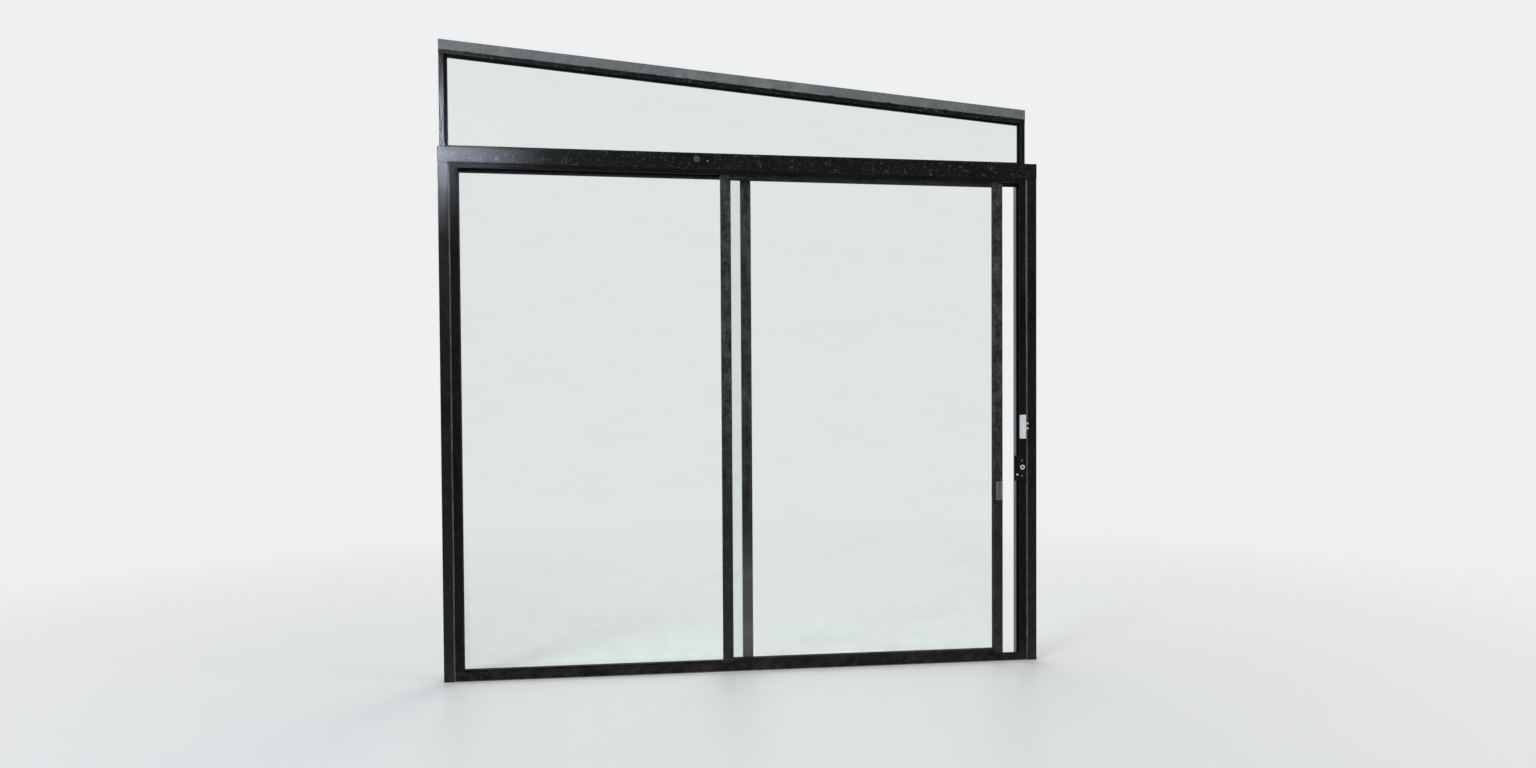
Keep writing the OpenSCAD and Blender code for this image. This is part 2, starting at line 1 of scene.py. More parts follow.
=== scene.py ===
# %% [markdown]
# # A glazed end wall, dressed in Blender
#
# The wall closes one end of a cabin. Its steel posts carry a header, a sloped transom
# light stands on the header, and a sliding glass door runs below it. The solids come in
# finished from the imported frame, at their real size and place. What is left for this
# lesson is how they look: paint, powder coat, zinc, rubber, sealant and glass, and the
# small pieces that a fitter adds, such as screws, weld beads, brush seals and beads of
# silicone.

# %% Load the frame
import json
import math

import bmesh
import bpy
from mathutils import Matrix, Vector, noise


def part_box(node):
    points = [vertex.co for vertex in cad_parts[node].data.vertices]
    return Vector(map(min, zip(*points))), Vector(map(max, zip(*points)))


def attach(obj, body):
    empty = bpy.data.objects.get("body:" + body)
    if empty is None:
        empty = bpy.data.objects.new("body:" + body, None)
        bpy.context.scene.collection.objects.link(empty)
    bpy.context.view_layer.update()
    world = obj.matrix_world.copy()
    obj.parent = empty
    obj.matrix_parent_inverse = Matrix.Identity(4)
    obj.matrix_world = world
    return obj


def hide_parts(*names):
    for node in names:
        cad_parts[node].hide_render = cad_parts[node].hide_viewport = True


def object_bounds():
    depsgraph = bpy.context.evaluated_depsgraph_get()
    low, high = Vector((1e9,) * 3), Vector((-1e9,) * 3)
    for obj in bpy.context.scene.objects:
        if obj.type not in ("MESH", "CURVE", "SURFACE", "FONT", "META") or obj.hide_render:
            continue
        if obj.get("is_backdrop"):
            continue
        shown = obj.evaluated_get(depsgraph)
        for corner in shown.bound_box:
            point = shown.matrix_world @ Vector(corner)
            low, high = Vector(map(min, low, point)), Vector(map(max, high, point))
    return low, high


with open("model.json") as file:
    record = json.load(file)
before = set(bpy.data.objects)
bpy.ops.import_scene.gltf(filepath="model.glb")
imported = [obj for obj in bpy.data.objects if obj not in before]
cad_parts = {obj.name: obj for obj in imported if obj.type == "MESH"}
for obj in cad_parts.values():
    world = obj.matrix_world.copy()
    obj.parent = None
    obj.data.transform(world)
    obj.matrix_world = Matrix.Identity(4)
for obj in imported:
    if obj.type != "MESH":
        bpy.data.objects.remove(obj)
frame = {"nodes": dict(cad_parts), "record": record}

bpy.context.scene.view_settings.view_transform = "Standard"
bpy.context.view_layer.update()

# %% [markdown]
# ## Camera
#
# The camera stands where the photograph was taken: 4.7 m in front of the wall, at chest
# height, turned a little to the right and tipped down. Those values came from a fit of the
# wall's own edges to the edges in the photograph. The wall fills only a part of that wide
# picture, so the lens is made longer by a zoom factor and shifted to keep the wall in the
# middle. A shift keeps every line at the slope that it has in the photograph, which a
# turn of the camera would not.

# %% Camera at the photograph's viewing angle
FRAME_W = 1536
EYE = Vector((-0.271, -4.754, 1.303))
YAW, PITCH, ROLL = (math.radians(a) for a in (7.173, -1.118, -0.284))
FOCAL_PX = 613.1
CENTRE_PX = (768.0, 377.8)
ZOOM = 1.5
CROP_PX = (738.0, 344.0)
SENSOR_MM = 36.0


def camera_axes(yaw, pitch, roll):
    ahead = Vector((math.sin(yaw) * math.cos(pitch), math.cos(yaw) * math.cos(pitch), math.sin(pitch)))
    level = Vector((math.cos(yaw), -math.sin(yaw), 0.0))
    rise = level.cross(ahead)
    right = math.cos(roll) * level + math.sin(roll) * rise
    up = math.cos(roll) * rise - math.sin(roll) * level
    return right, up, ahead


def place_camera():
    data = bpy.data.cameras.new("camera")
    data.sensor_width = SENSOR_MM
    data.lens = FOCAL_PX * ZOOM * SENSOR_MM / FRAME_W
    data.shift_x = -ZOOM * (CENTRE_PX[0] - CROP_PX[0]) / FRAME_W
    data.shift_y = ZOOM * (CENTRE_PX[1] - CROP_PX[1]) / FRAME_W
    camera = bpy.data.objects.new("camera", data)
    bpy.context.scene.collection.objects.link(camera)
    right, up, ahead = camera_axes(YAW, PITCH, ROLL)
    turn = Matrix((right, up, -ahead)).transposed().to_4x4()
    camera.matrix_world = Matrix.Translation(EYE) @ turn
    bpy.context.scene.camera = camera
    return camera


camera = place_camera()
print("lens %.2f mm, shift %.4f %.4f" % (camera.data.lens, camera.data.shift_x, camera.data.shift_y))

# %% [markdown]
# ## Shader maths written as expressions
#
# A finish is mostly arithmetic on masks: grime here, less gloss there. Wiring that by
# hand takes dozens of node calls, so a small class wraps an output socket and gives it
# the usual operators. `1 - mask` or `grain * 0.2 + 0.4` then adds the Math nodes by
# itself. Colours are never sent through Math nodes, which would turn them grey: they go
# through a Mix node instead.

# %% A socket that does arithmetic
class Sock:
    def __init__(self, tree, socket):
        self.tree, self.socket = tree, socket

    def maths(self, operation, *others, clamp=False):
        values = dict(enumerate((self, *others)))
        return self.tree.add("Math", {"operation": operation, "use_clamp": clamp}, values)

    def __add__(self, other):
        return self.maths("ADD", other)

    def __rsub__(self, other):
        return self.tree.add("Math", {"operation": "SUBTRACT"}, {0: other, 1: self})

    def __mul__(self, other):
        return self.maths("MULTIPLY", other)

    def __truediv__(self, other):
        return self.maths("DIVIDE", other)

    __radd__, __rmul__ = __add__, __mul__

    def clamped(self):
        return self.maths("ADD", 0.0, clamp=True)

    def max(self, other):
        return self.maths("MAXIMUM", other)

    def min(self, other):
        return self.maths("MINIMUM", other)

    def ramp(self, low, high):
        settings = {"interpolation_type": "SMOOTHSTEP"}
        values = {"Value": self, "From Min": low, "From Max": high}
        return self.tree.add("MapRange", settings, values, out="Result")


# %% A node tree, and a material's finish
class Nodes:
    def __init__(self, owner):
        owner.use_nodes = True
        self.owner = owner
        self.nodes, self.links = owner.node_tree.nodes, owner.node_tree.links
        self.nodes.clear()

    def add(self, kind, settings, values, out=0):
        node = self.nodes.new("ShaderNode" + kind)
        for key, value in settings.items():
            setattr(node, key, value)
        for key, value in values.items():
            if isinstance(value, Sock):
                self.links.new(value.socket, node.inputs[key])
            else:
                node.inputs[key].default_value = value
        return Sock(self, node.outputs[out]) if node.outputs else None

    def axis(self, vector, index):
        return self.add("SeparateXYZ", {}, {0: vector}, out=index)

    def ray(self, kind):
        return self.add("LightPath", {}, {}, out=f"Is {kind} Ray")

    def straight(self):
        mirrored = self.add("LightPath", {}, {}, out="Glossy Depth").min(1)
        return self.ray("Camera").max(self.ray("Transmission") * (1 - mirrored))


class Finish(Nodes):
    def __init__(self, name):
        super().__init__(bpy.data.materials.new(name))
        self.place = self.add("TexCoord", {}, {}, out="Object")

    def stretched(self, scale, turn=(0.0, 0.0, 0.0)):
        values = {"Vector": self.place, "Scale": scale, "Rotation": turn}
        return self.add("Mapping", {}, values)

    def noise(self, size, detail=3.0, rough=0.5, where=None):
        values = {"Vector": where or self.place, "Scale": 1.0 / size, "Detail": detail, "Roughness": rough}
        return self.add("TexNoise", {"normalize": True}, values, out="Fac")

    def cells(self, size, feature="F1", out="Distance"):
        values = {"Vector": self.place, "Scale": 1.0 / size}
        return self.add("TexVoronoi", {"feature": feature}, values, out=out)

    def height(self):
        return self.axis(self.place, 2)

    def facing_up(self):
        return self.axis(self.add("NewGeometry", {}, {}, out="Normal"), 2)

    def blend(self, share, first, second):
        settings = {"data_type": "RGBA", "clamp_factor": True}
        return self.add("Mix", settings, {0: share, 6: colour4(first), 7: colour4(second)}, out=2)

    def bump(self, height, distance, strength):
        return self.add("Bump", {}, {"Height": height, "Distance": distance, "Strength": strength})

    def surface(self, **sockets):
        values = {key.replace("_", " ").title(): value for key, value in sockets.items()}
        values = {RENAMED.get(key, key): value for key, value in values.items()}
        if "Base Color" in values:
            values["Base Color"] = colour4(values["Base Color"])
        return self.add("BsdfPrincipled", {}, values)

    def done(self, shader):
        self.add("OutputMaterial", {}, {"Surface": shader})
        return self.owner


RENAMED = {"Ior": "IOR", "Specular Ior Level": "Specular IOR Level"}


def colour4(colour):
    return colour if isinstance(colour, Sock) else (*colour, 1.0)


# %% [markdown]
# ## Black paint on the steel
#
# The posts, the header, the studs and the head rail are painted on site. Brushed and
# rolled paint is never flat: it has a fine orange peel, long soft strokes along the
# member, a few pin-head specks of dust caught in it, and grime where a hand or a mop
# reaches. The header also has a fine pale spatter, more than the posts. These flecks
# are partly painted glints, which stand for a rough paint skin catching light. A plain
# dark grey would look like a hole in the picture, so the gloss and these small marks
# carry the detail.

# %% Shared masks: dust and specks
def lengthwise(along, across):
    return [1.0 if axis == along else across for axis in range(3)]


def dust_on_top(finish, amount):
    ledge = finish.facing_up().ramp(0.35, 0.95)
    patches = finish.noise(0.07, detail=5.0).ramp(0.3, 0.7)
    return ledge * patches * amount


def grime_near_floor(finish, reach, amount):
    low = 1 - finish.height().ramp(0.0, reach)
    drifts = finish.noise(0.05, detail=6.0, rough=0.6).ramp(0.35, 0.75)
    return low * low * drifts * amount


def mottle(finish, size, amount):
    coarse = finish.noise(size, detail=4.0, rough=0.7).ramp(0.46, 0.70)
    fine = finish.noise(size * 0.35, detail=2.0).ramp(0.50, 0.72)
    return (coarse * 0.6 + fine * 0.4) * amount


def splashes(finish, reach, amount):
    low = 1 - finish.height().ramp(0.0, reach)
    rings = finish.cells(0.022).ramp(0.10, 0.30)
    picked = finish.axis(finish.cells(0.022, out="Color"), 2).ramp(0.72, 0.78)
    return low * (1 - rings) * picked * amount


# Pale flecks: partly real spatter in the paint, and partly painted glints that stand for a rough skin
# catching light.
def flecks_and_painted_glints(finish, size, amount):
    grains_and_glints = finish.noise(size, detail=2.0, rough=0.6).ramp(0.56, 0.70)
    drifts = finish.noise(size * 5, detail=2.0).ramp(0.36, 0.62) * 0.75 + 0.25
    return grains_and_glints * drifts * amount


# Chalky film in patches and spots, laid thicker towards the top. The height ramp is painted light: lighter
# above, darker below.
def chalky_film_and_painted_top_light(finish, long_way, amount):
    patches = finish.noise(0.10, detail=6.0, rough=0.7, where=finish.stretched(long_way)).ramp(0.43, 0.61)
    spots = finish.noise(0.022, detail=3.0, rough=0.6).ramp(0.40, 0.64)
    painted_top_light = finish.height().ramp(0.6, 1.6) * 0.85 + 0.15
    return (patches * 0.55 + spots * 0.45) * painted_top_light * amount


def specks(finish, size, share):
    near = 1 - finish.cells(size).ramp(0.03, 0.11)
    chosen = finish.cells(size, out="Color")
    keep = finish.axis(chosen, 0).ramp(1 - share, 1 - share + 0.02)
    return near * keep


# %% Painted steel
def painted_steel(name, along, spatter_and_painted_glints):
    finish = Finish(name)
    strokes = finish.noise(0.35, detail=5.0, where=finish.stretched(lengthwise(along, 16.0)))
    hairs = finish.noise(0.06, detail=3.0, where=finish.stretched(lengthwise(along, 22.0)))
    peel = finish.noise(0.0055, detail=2.0)
    cloud = finish.noise(0.16, detail=4.0)
    pinheads = specks(finish, 0.009, 0.30)
    dots = (specks(finish, 0.034, 0.22) + specks(finish, 0.015, 0.30) * 0.7).clamped()
    dust = (dust_on_top(finish, 0.55) + grime_near_floor(finish, 0.22, 0.30)).clamped()
    scuffs = finish.noise(0.045, detail=7.0, rough=0.72).ramp(0.62, 0.76)
    tone = finish.blend(cloud.ramp(0.3, 0.7), (0.0026, 0.0027, 0.0035), (0.0050, 0.0052, 0.0064))
    # Pale marks: mottle, pin-heads, scuffs and splashes, plus flecks that are partly painted glints.
    haze_and_glints = mottle(finish, 0.014, 0.04) + flecks_and_painted_glints(finish, 0.0115, spatter_and_painted_glints)
    haze_and_glints = haze_and_glints + pinheads * 0.28 + scuffs * 0.06 + splashes(finish, 0.45, 0.3)
    tone = finish.blend(haze_and_glints.clamped(), tone, (0.11, 0.113, 0.108))
    tone = finish.blend(dots * 0.6, tone, (0.15, 0.155, 0.16))
    tone = finish.blend(dust * 0.5, tone, (0.17, 0.16, 0.145))
    gloss = 0.27 + cloud * 0.14 + strokes * 0.14 + scuffs * 0.12 + dust * 0.4
    relief = peel * 0.55 + strokes * 1.4 + hairs * 0.5 + (pinheads + dots) * 0.9
    shader = finish.surface(
        base_color=tone,
        roughness=gloss,
        specular_ior_level=0.32,
        normal=finish.bump(relief, 0.0009, 0.6),
    )
    return finish.done(shader)


UPRIGHT, LEVEL = 2, 0
# The header gets more pale flecks than the posts, and so more painted glints.
steel_upright = painted_steel("black_paint_upright", UPRIGHT, spatter_and_painted_glints=0.22)
steel_level = painted_steel("black_paint_level", LEVEL, spatter_and_painted_glints=0.70)
print("painted steel:", len(steel_upright.node_tree.nodes), "nodes")

# %% [markdown]
# ## Powder coat on the aluminium
#
# The door's sections leave the press in long bars and are coated in a booth, so their
# skin is finer and more even than the site paint: a tight grain of a millimetre or two,
# faint drawing lines along the bar, and small rub marks. The same few masks do it, at
# another scale. The stiles of the panels are shinier than the frame round them and carry
# a chalky film with brown stains in it, as the photograph shows. The film grows towards
# the top, which is painted light. The rails take less film than the stiles, which is
# painted shade on the same coat. The pale flecks in the coat are partly painted glints.
# The side of the opening on the latch side is a smooth snap-in strip, glossy enough to
# mirror daylight. So the depth of the black, the sheen, the film and the gloss are
# arguments.

# %% Powder-coated aluminium
def powder_coat(name, along, depth, sheen, film, matt=0.34):
    finish = Finish(name)
    dark, light = ((tone * depth, tone * depth, tone * depth * 1.06) for tone in (0.0065, 0.0110))
    drawn = finish.noise(0.5, detail=3.0, where=finish.stretched(lengthwise(along, 60.0)))
    grain = finish.noise(0.0016, detail=1.0)
    cloud = finish.noise(0.25, detail=4.0)
    dots = (specks(finish, 0.018, 0.20) + specks(finish, 0.007, 0.25) * 0.5).clamped()
    rubs = finish.noise(0.03, detail=6.0, rough=0.7).ramp(0.58, 0.74)
    dust = (dust_on_top(finish, 0.7) + grime_near_floor(finish, 0.16, 0.35)).clamped()
    tone = finish.blend(cloud.ramp(0.3, 0.7), dark, light)
    # The chalky film is real, but its growth towards the top is painted light.
    chalk_and_top_light = chalky_film_and_painted_top_light(finish, lengthwise(along, 2.5), film)
    tone = finish.blend(chalk_and_top_light.clamped(), tone, (0.078, 0.083, 0.092))
    stains = finish.noise(0.11, detail=5.0, rough=0.65).ramp(0.58, 0.70)
    tone = finish.blend(stains * (0.15 + film * 0.8), tone, (0.034, 0.019, 0.011))
    haze_and_glints = mottle(finish, 0.010, 0.05) + flecks_and_painted_glints(finish, 0.009, 0.10 + film * 0.4)
    haze_and_glints = haze_and_glints + dots * 0.45 + rubs * 0.08 + splashes(finish, 0.35, 0.3)
    tone = finish.blend(haze_and_glints.clamped(), tone, (0.14, 0.14, 0.135))
    tone = finish.blend(dust * 0.55, tone, (0.18, 0.165, 0.14))
    gloss = matt + cloud * 0.12 + drawn * 0.10 + rubs * 0.14 + dust * 0.35
    relief = grain * 0.6 + drawn * 0.6 + dots * 0.5
    shader = finish.surface(
        base_color=tone,
        roughness=gloss,
        specular_ior_level=sheen,
        normal=finish.bump(relief, 0.0005, 0.6),
    )
    return finish.done(shader)


FRAME_COAT = {"depth": 0.6, "sheen": 0.09, "film": 0.0}
STILE_COAT = {"depth": 0.9, "sheen": 0.34, "film": 0.8}
# The rails of the panels take less film than their stiles, though both are one coat: painted shade on the
# rails.
SHADED_RAIL_COAT = {"depth": 0.9, "sheen": 0.16, "film": 0.25}
STRIP_COAT = {"depth": 0.6, "sheen": 0.42, "film": 0.0, "matt": 0.12}
coat_upright = powder_coat("frame_coat_upright", UPRIGHT, **FRAME_COAT)
coat_level = powder_coat("frame_coat_level", LEVEL, **FRAME_COAT)
panel_upright = powder_coat("panel_coat_upright", UPRIGHT, **STILE_COAT)
shaded_panel_level = powder_coat("panel_coat_level_shaded", LEVEL, **SHADED_RAIL_COAT)
strip_coat = powder_coat("strip_coat", UPRIGHT, **STRIP_COAT)
print("powder coat:", len(coat_upright.node_tree.nodes), "nodes")

# %% [markdown]
# ## Zinc: the rafter, the strike and the roller carriages
#
# Hot-dip zinc cools into spangles, flakes a centimetre across that each shine a little
# differently. Voronoi cells give every flake a tone and a gloss of its own. Old zinc
# also dulls in patches to a chalky bloom, which a soft noise lays over the flakes. The
# small fittings are plated instead and have a fine brushed grain.

# %% Galvanised steel
def galvanised():
    finish = Finish("galvanised_steel")
    flakes = finish.cells(0.011, out="Color")
    flake = finish.axis(flakes, 0)
    edge = finish.cells(0.011, feature="DISTANCE_TO_EDGE").ramp(0.0, 0.06)
    bloom = finish.noise(0.12, detail=6.0, rough=0.65).ramp(0.45, 0.72)
    streaks = finish.noise(0.05, detail=4.0, where=finish.stretched((7.0, 7.0, 1.0))).ramp(0.5, 0.8)
    tone = finish.blend(flake, (0.150, 0.165, 0.168), (0.205, 0.222, 0.226))
    tone = finish.blend(bloom * 0.5, tone, (0.27, 0.28, 0.272))
    tone = finish.blend(streaks * 0.35, tone, (0.105, 0.112, 0.104))
    shine = 0.30 - bloom * 0.22
    gloss = 0.46 + flake * 0.14 + bloom * 0.25
    relief = edge * 0.3 + bloom * 0.5
    shader = finish.surface(
        base_color=tone,
        metallic=shine,
        roughness=gloss,
        specular_ior_level=0.3,
        normal=finish.bump(relief, 0.0003, 0.4),
    )
    return finish.done(shader)


def plated(name, tone_low, tone_high, shine=0.9):
    finish = Finish(name)
    brushed = finish.noise(0.02, detail=3.0, where=finish.stretched((1.0, 1.0, 30.0)))
    stain = finish.noise(0.02, detail=5.0).ramp(0.5, 0.75)
    tone = finish.blend(brushed, tone_low, tone_high)
    tone = finish.blend(stain * 0.4, tone, (0.22, 0.19, 0.13))
    shader = finish.surface(
        base_color=tone,
        metallic=shine - stain * 0.3,
        roughness=0.28 + brushed * 0.12 + stain * 0.2,
        normal=finish.bump(brushed, 0.0002, 0.4),
    )
    return finish.done(shader)


zinc_sheet = galvanised()
zinc_plate = plated("zinc_plate", (0.46, 0.47, 0.48), (0.62, 0.62, 0.60))
bright_steel = plated("bright_steel", (0.80, 0.80, 0.79), (0.92, 0.92, 0.90), shine=0.45)
print("zinc:", len(zinc_sheet.node_tree.nodes), "nodes")

# %% [markdown]
# ## Rubber, sealant and plastics
#
# The rubber that holds the panes is nearly black and quite dull, with talc left in its
# grain. The silicone round the door frame is a greyish bead that picks up dust. The
# white box is moulded, so it has a fine spark texture and a slight sheen.

# %% Rubber, silicone, nylon and moulded plastic
def moulded(name, dark, light, gloss, grain_size, grain_depth, dirt=0.0, dirt_tone=(0.12, 0.11, 0.09)):
    finish = Finish(name)
    grain = finish.noise(grain_size, detail=2.0)
    cloud = finish.noise(0.05, detail=5.0, rough=0.6)
    soil = (cloud.ramp(0.5, 0.75) * dirt + dust_on_top(finish, dirt)).clamped()
    tone = finish.blend(cloud.ramp(0.3, 0.7), dark, light)
    tone = finish.blend(soil, tone, dirt_tone)
    shader = finish.surface(
        base_color=tone,
        roughness=gloss + grain * 0.12 + soil * 0.2,
        specular_ior_level=0.45,
        normal=finish.bump(grain, grain_depth, 0.6),
    )
    return finish.done(shader)


rubber = moulded("black_rubber", (0.008, 0.008, 0.009), (0.016, 0.016, 0.017), 0.62, 0.0012, 0.0002, 0.12)
silicone = moulded("grey_silicone", (0.060, 0.057, 0.066), (0.120, 0.115, 0.126), 0.34, 0.006, 0.0004, 0.2)
nylon = moulded("turned_nylon", (0.62, 0.62, 0.57), (0.74, 0.74, 0.69), 0.42, 0.0008, 0.0001, 0.2)
guide_black = moulded("guide_nylon", (0.020, 0.020, 0.022), (0.034, 0.034, 0.037), 0.5, 0.001, 0.0001, 0.1)
pull_grey = moulded("grey_pull", (0.165, 0.170, 0.180), (0.215, 0.220, 0.232), 0.36, 0.0015, 0.0002, 0.1)
box_white = moulded("white_plastic", (0.64, 0.69, 0.72), (0.72, 0.76, 0.79), 0.34, 0.0012, 0.00015, 0.06,
                    (0.52, 0.49, 0.42))
pile_grey = moulded("pile_fibre", (0.035, 0.035, 0.037), (0.075, 0.075, 0.078), 0.85, 0.0007, 0.0003, 0.15)
print("moulded finishes: 7")

# %% [markdown]
# ## Glass
#
# Clear float glass is almost nothing but its two surfaces: a faint green body tint, a
# faint mirror image, and whatever has dried on it. The body is a transmissive
# Principled shader. Lamps can't find their way through such a shader in few samples,
# which would leave the panes with black shadows, so rays on their way to a lamp meet a
# Transparent shader of nearly the same tint instead. A thin film of dust and wiped-off
# smears, strongest near the floor, is mixed in last.

# %% Float glass with a dried film
def float_glass():
    finish = Finish("float_glass")
    body = finish.surface(
        base_color=(0.925, 0.970, 0.948),
        roughness=0.0,
        transmission_weight=1.0,
        ior=1.5,
    )
    clear = finish.add("BsdfTransparent", {}, {"Color": (0.94, 0.97, 0.955, 1.0)})
    pane = finish.add("MixShader", {}, {0: finish.ray("Shadow"), 1: body, 2: clear})
    slanted = finish.stretched((1.0, 1.0, 3.2), turn=(0.0, 0.5, 0.0))
    wipes = finish.noise(0.55, detail=5.0, rough=0.6, where=slanted)
    spots = 1 - finish.cells(0.035).ramp(0.06, 0.16)
    picked = finish.axis(finish.cells(0.035, out="Color"), 1).ramp(0.80, 0.84)
    low = 1 - finish.height().ramp(0.05, 0.55)
    film = wipes.ramp(0.46, 0.80) * 0.045 + spots * picked * 0.05
    film = film + low * finish.noise(0.09, detail=4.0).ramp(0.3, 0.9) * 0.045
    dust = finish.surface(base_color=(0.60, 0.62, 0.57), roughness=0.9)
    return finish.done(finish.add("MixShader", {}, {0: film.clamped(), 1: pane, 2: dust}))


glass = float_glass()
print("glass:", len(glass.node_tree.nodes), "nodes")

# %% [markdown]
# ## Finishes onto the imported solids
#
# Every solid of the frame keeps its mesh and its place, and only its material slots
# change. The record already says which slot each node belongs to, so one table from
# slot to finish does most of the work. Painted and coated bars also need to know which
# way they run, and their own box tells: the longest side is the way of the grain.

# %% Give every solid its finish
PAIRED = {
    "black_steel": (steel_level, steel_upright),
    "black_aluminium": (coat_level, coat_upright),
    "panel": (shaded_panel_level, panel_upright),
}
SINGLE = {
    "galvanised_steel": zinc_sheet,
    "black_rubber": rubber,
    "clear_glass": glass,
    "grey_sealant": silicone,
    "zinc_steel": zinc_plate,
    "roller_nylon": nylon,
    "guide_nylon": guide_black,
    "grey_pull": pull_grey,
    "white_plastic": box_white,
}


def finish_for(node, slot):
    if slot in SINGLE:
        return SINGLE[slot]
    low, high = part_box(node)
    tall = high.z - low.z > high.x - low.x
    kind = "panel" if node.startswith(("sash_", "fixed_")) else slot
    return PAIRED[kind][1 if tall else 0]


def dress(node, material):
    slots = frame["nodes"][node].data.materials
    slots.clear()
    slots.append(material)


slot_of = {part["node"]: part["material_slot"] for part in frame["record"]["subparts"]}
for node, slot in slot_of.items():
    dress(node, finish_for(node, slot))
print("dressed", len(slot_of), "solids")

# %% [markdown]
# ## Small pieces: how they are made
#
# Screws, plugs, weld beads and beads of silicone are too small to carry any load in the
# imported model, but the eye looks for them at every joint. Each is made once, round its
# own axis, from a bmesh operator or two. A seat matrix then says where each copy sits and
# which way it faces, so a row of screws costs one line and stays a single mesh. Flat
# pieces start as a block, and every bevel takes the same soft settings.

# %% A piece, its copies and its seats
MM = 0.001
SHARP = math.radians(34)
ROOM, WEATHER = (0.0, -1.0, 0.0), (0.0, 1.0, 0.0)
LEFTWARD, RIGHTWARD = (-1.0, 0.0, 0.0), (1.0, 0.0, 0.0)


def piece(name, bm, material, body):
    mesh = bpy.data.meshes.new(name)
    bm.to_mesh(mesh)
    bm.free()
    mesh.shade_smooth()
    mesh.set_sharp_from_angle(angle=SHARP)
    mesh.materials.append(material)
    made = bpy.data.objects.new(name, mesh)
    bpy.context.scene.collection.objects.link(made)
    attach(made, body)
    return made


def seat(place, facing, turn=0.0):
    aim = Vector(facing).to_track_quat("Z", "Y").to_matrix().to_4x4()
    return Matrix.Translation(place) @ aim @ Matrix.Rotation(turn, 4, "Z")


def copies(shape, seats):
    pattern = bpy.data.meshes.new("pattern")
    shape.to_mesh(pattern)
    shape.free()
    bm = bmesh.new()
    for matrix in seats:
        before = len(bm.verts)
        bm.from_mesh(pattern)
        bm.verts.ensure_lookup_table()
        bmesh.ops.transform(bm, matrix=matrix, verts=bm.verts[before:])
    bpy.data.meshes.remove(pattern)
    return bm


def turned(profile, steps=28):
    bm = bmesh.new()
    verts = [bm.verts.new((radius * MM, 0.0, z * MM)) for radius, z in profile]
    edges = [bm.edges.new(pair) for pair in zip(verts, verts[1:])]
    full = {"angle": 2 * math.pi, "steps": steps, "use_merge": True}
    bmesh.ops.spin(bm, geom=verts + edges, cent=(0, 0, 0), axis=(0, 0, 1), **full)
    bmesh.ops.remove_doubles(bm, verts=bm.verts, dist=0.01 * MM)
    bmesh.ops.recalc_face_normals(bm, faces=bm.faces)
    return bm


SOFTEN = {"affect": "EDGES", "profile": 0.5, "material": -1}


def block(size, middle=(0.0, 0.0, 0.0)):
    bm = bmesh.new()
    bmesh.ops.create_cube(bm, size=1.0)
    bmesh.ops.scale(bm, verts=bm.verts, vec=size)
    bmesh.ops.translate(bm, verts=bm.verts, vec=middle)
    return bm


def lathe_fitting(name, profile, place, material, steps=28):
    return piece(name, copies(turned(profile, steps), [seat(place, ROOM)]), material, "wall")


# %% [markdown]
# A pan-head screw starts as a square grid. Squeezing the grid into a disc keeps its
# middle rows straight, so the faces of a plus sign are easy to pick before the squeeze.
# Those faces are then inset and pushed down, which cuts the cross recess, and the rim is
# pulled down into the head's side.

# %% Screws
def pan_head(radius, height, cells=9, arm=2):
    bm = bmesh.new()
    bmesh.ops.create_grid(bm, x_segments=cells, y_segments=cells, size=1.0)
    cross = []
    for face in bm.faces:
        column, row = (round(c * cells / 2) for c in face.calc_center_median()[:2])
        if min(abs(column), abs(row)) == 0 and max(abs(column), abs(row)) <= arm:
            cross.append(face)
    for vert in bm.verts:
        x, y = vert.co.x, vert.co.y
        x, y = x * math.sqrt(1 - y * y / 2), y * math.sqrt(1 - x * x / 2)
        vert.co = (x * radius, y * radius, height * (1 - 0.4 * (x * x + y * y)))
    rim = [edge for edge in bm.edges if edge.is_boundary]
    bmesh.ops.inset_region(bm, faces=cross, thickness=radius * 0.03, depth=-height * 0.5)
    skirt = bmesh.ops.extrude_edge_only(bm, edges=rim)["geom"]
    for vert in (part for part in skirt if isinstance(part, bmesh.types.BMVert)):
        vert.co.z = 0.0
    bmesh.ops.recalc_face_normals(bm, faces=bm.faces)
    return bm


def hex_head(radius, height):
    bm = turned([(0, 0), (radius * 1.65, 0), (radius * 1.6, 0.7), (radius * 1.15, 1.1), (0, 1.1)])
    sides = {"segments": 6, "radius1": radius * 1.15 * MM, "radius2": radius * 1.15 * MM}
    nut = bmesh.ops.create_cone(bm, cap_ends=True, depth=height * MM, **sides)["verts"]
    bmesh.ops.translate(bm, verts=nut, vec=(0, 0, (1.0 + height / 2) * MM))
    top = {edge for vert in nut if vert.co.z > height * MM for edge in vert.link_edges}
    top = [edge for edge in top if all(vert.co.z > height * MM for vert in edge.verts)]
    bmesh.ops.bevel(bm, geom=top, offset=0.6 * MM, segments=2, **SOFTEN)
    return bm


def screws(name, seats, material, body, radius=4.0, height=2.2):
    return piece(name, copies(pan_head(radius * MM, height * MM), seats), material, body)


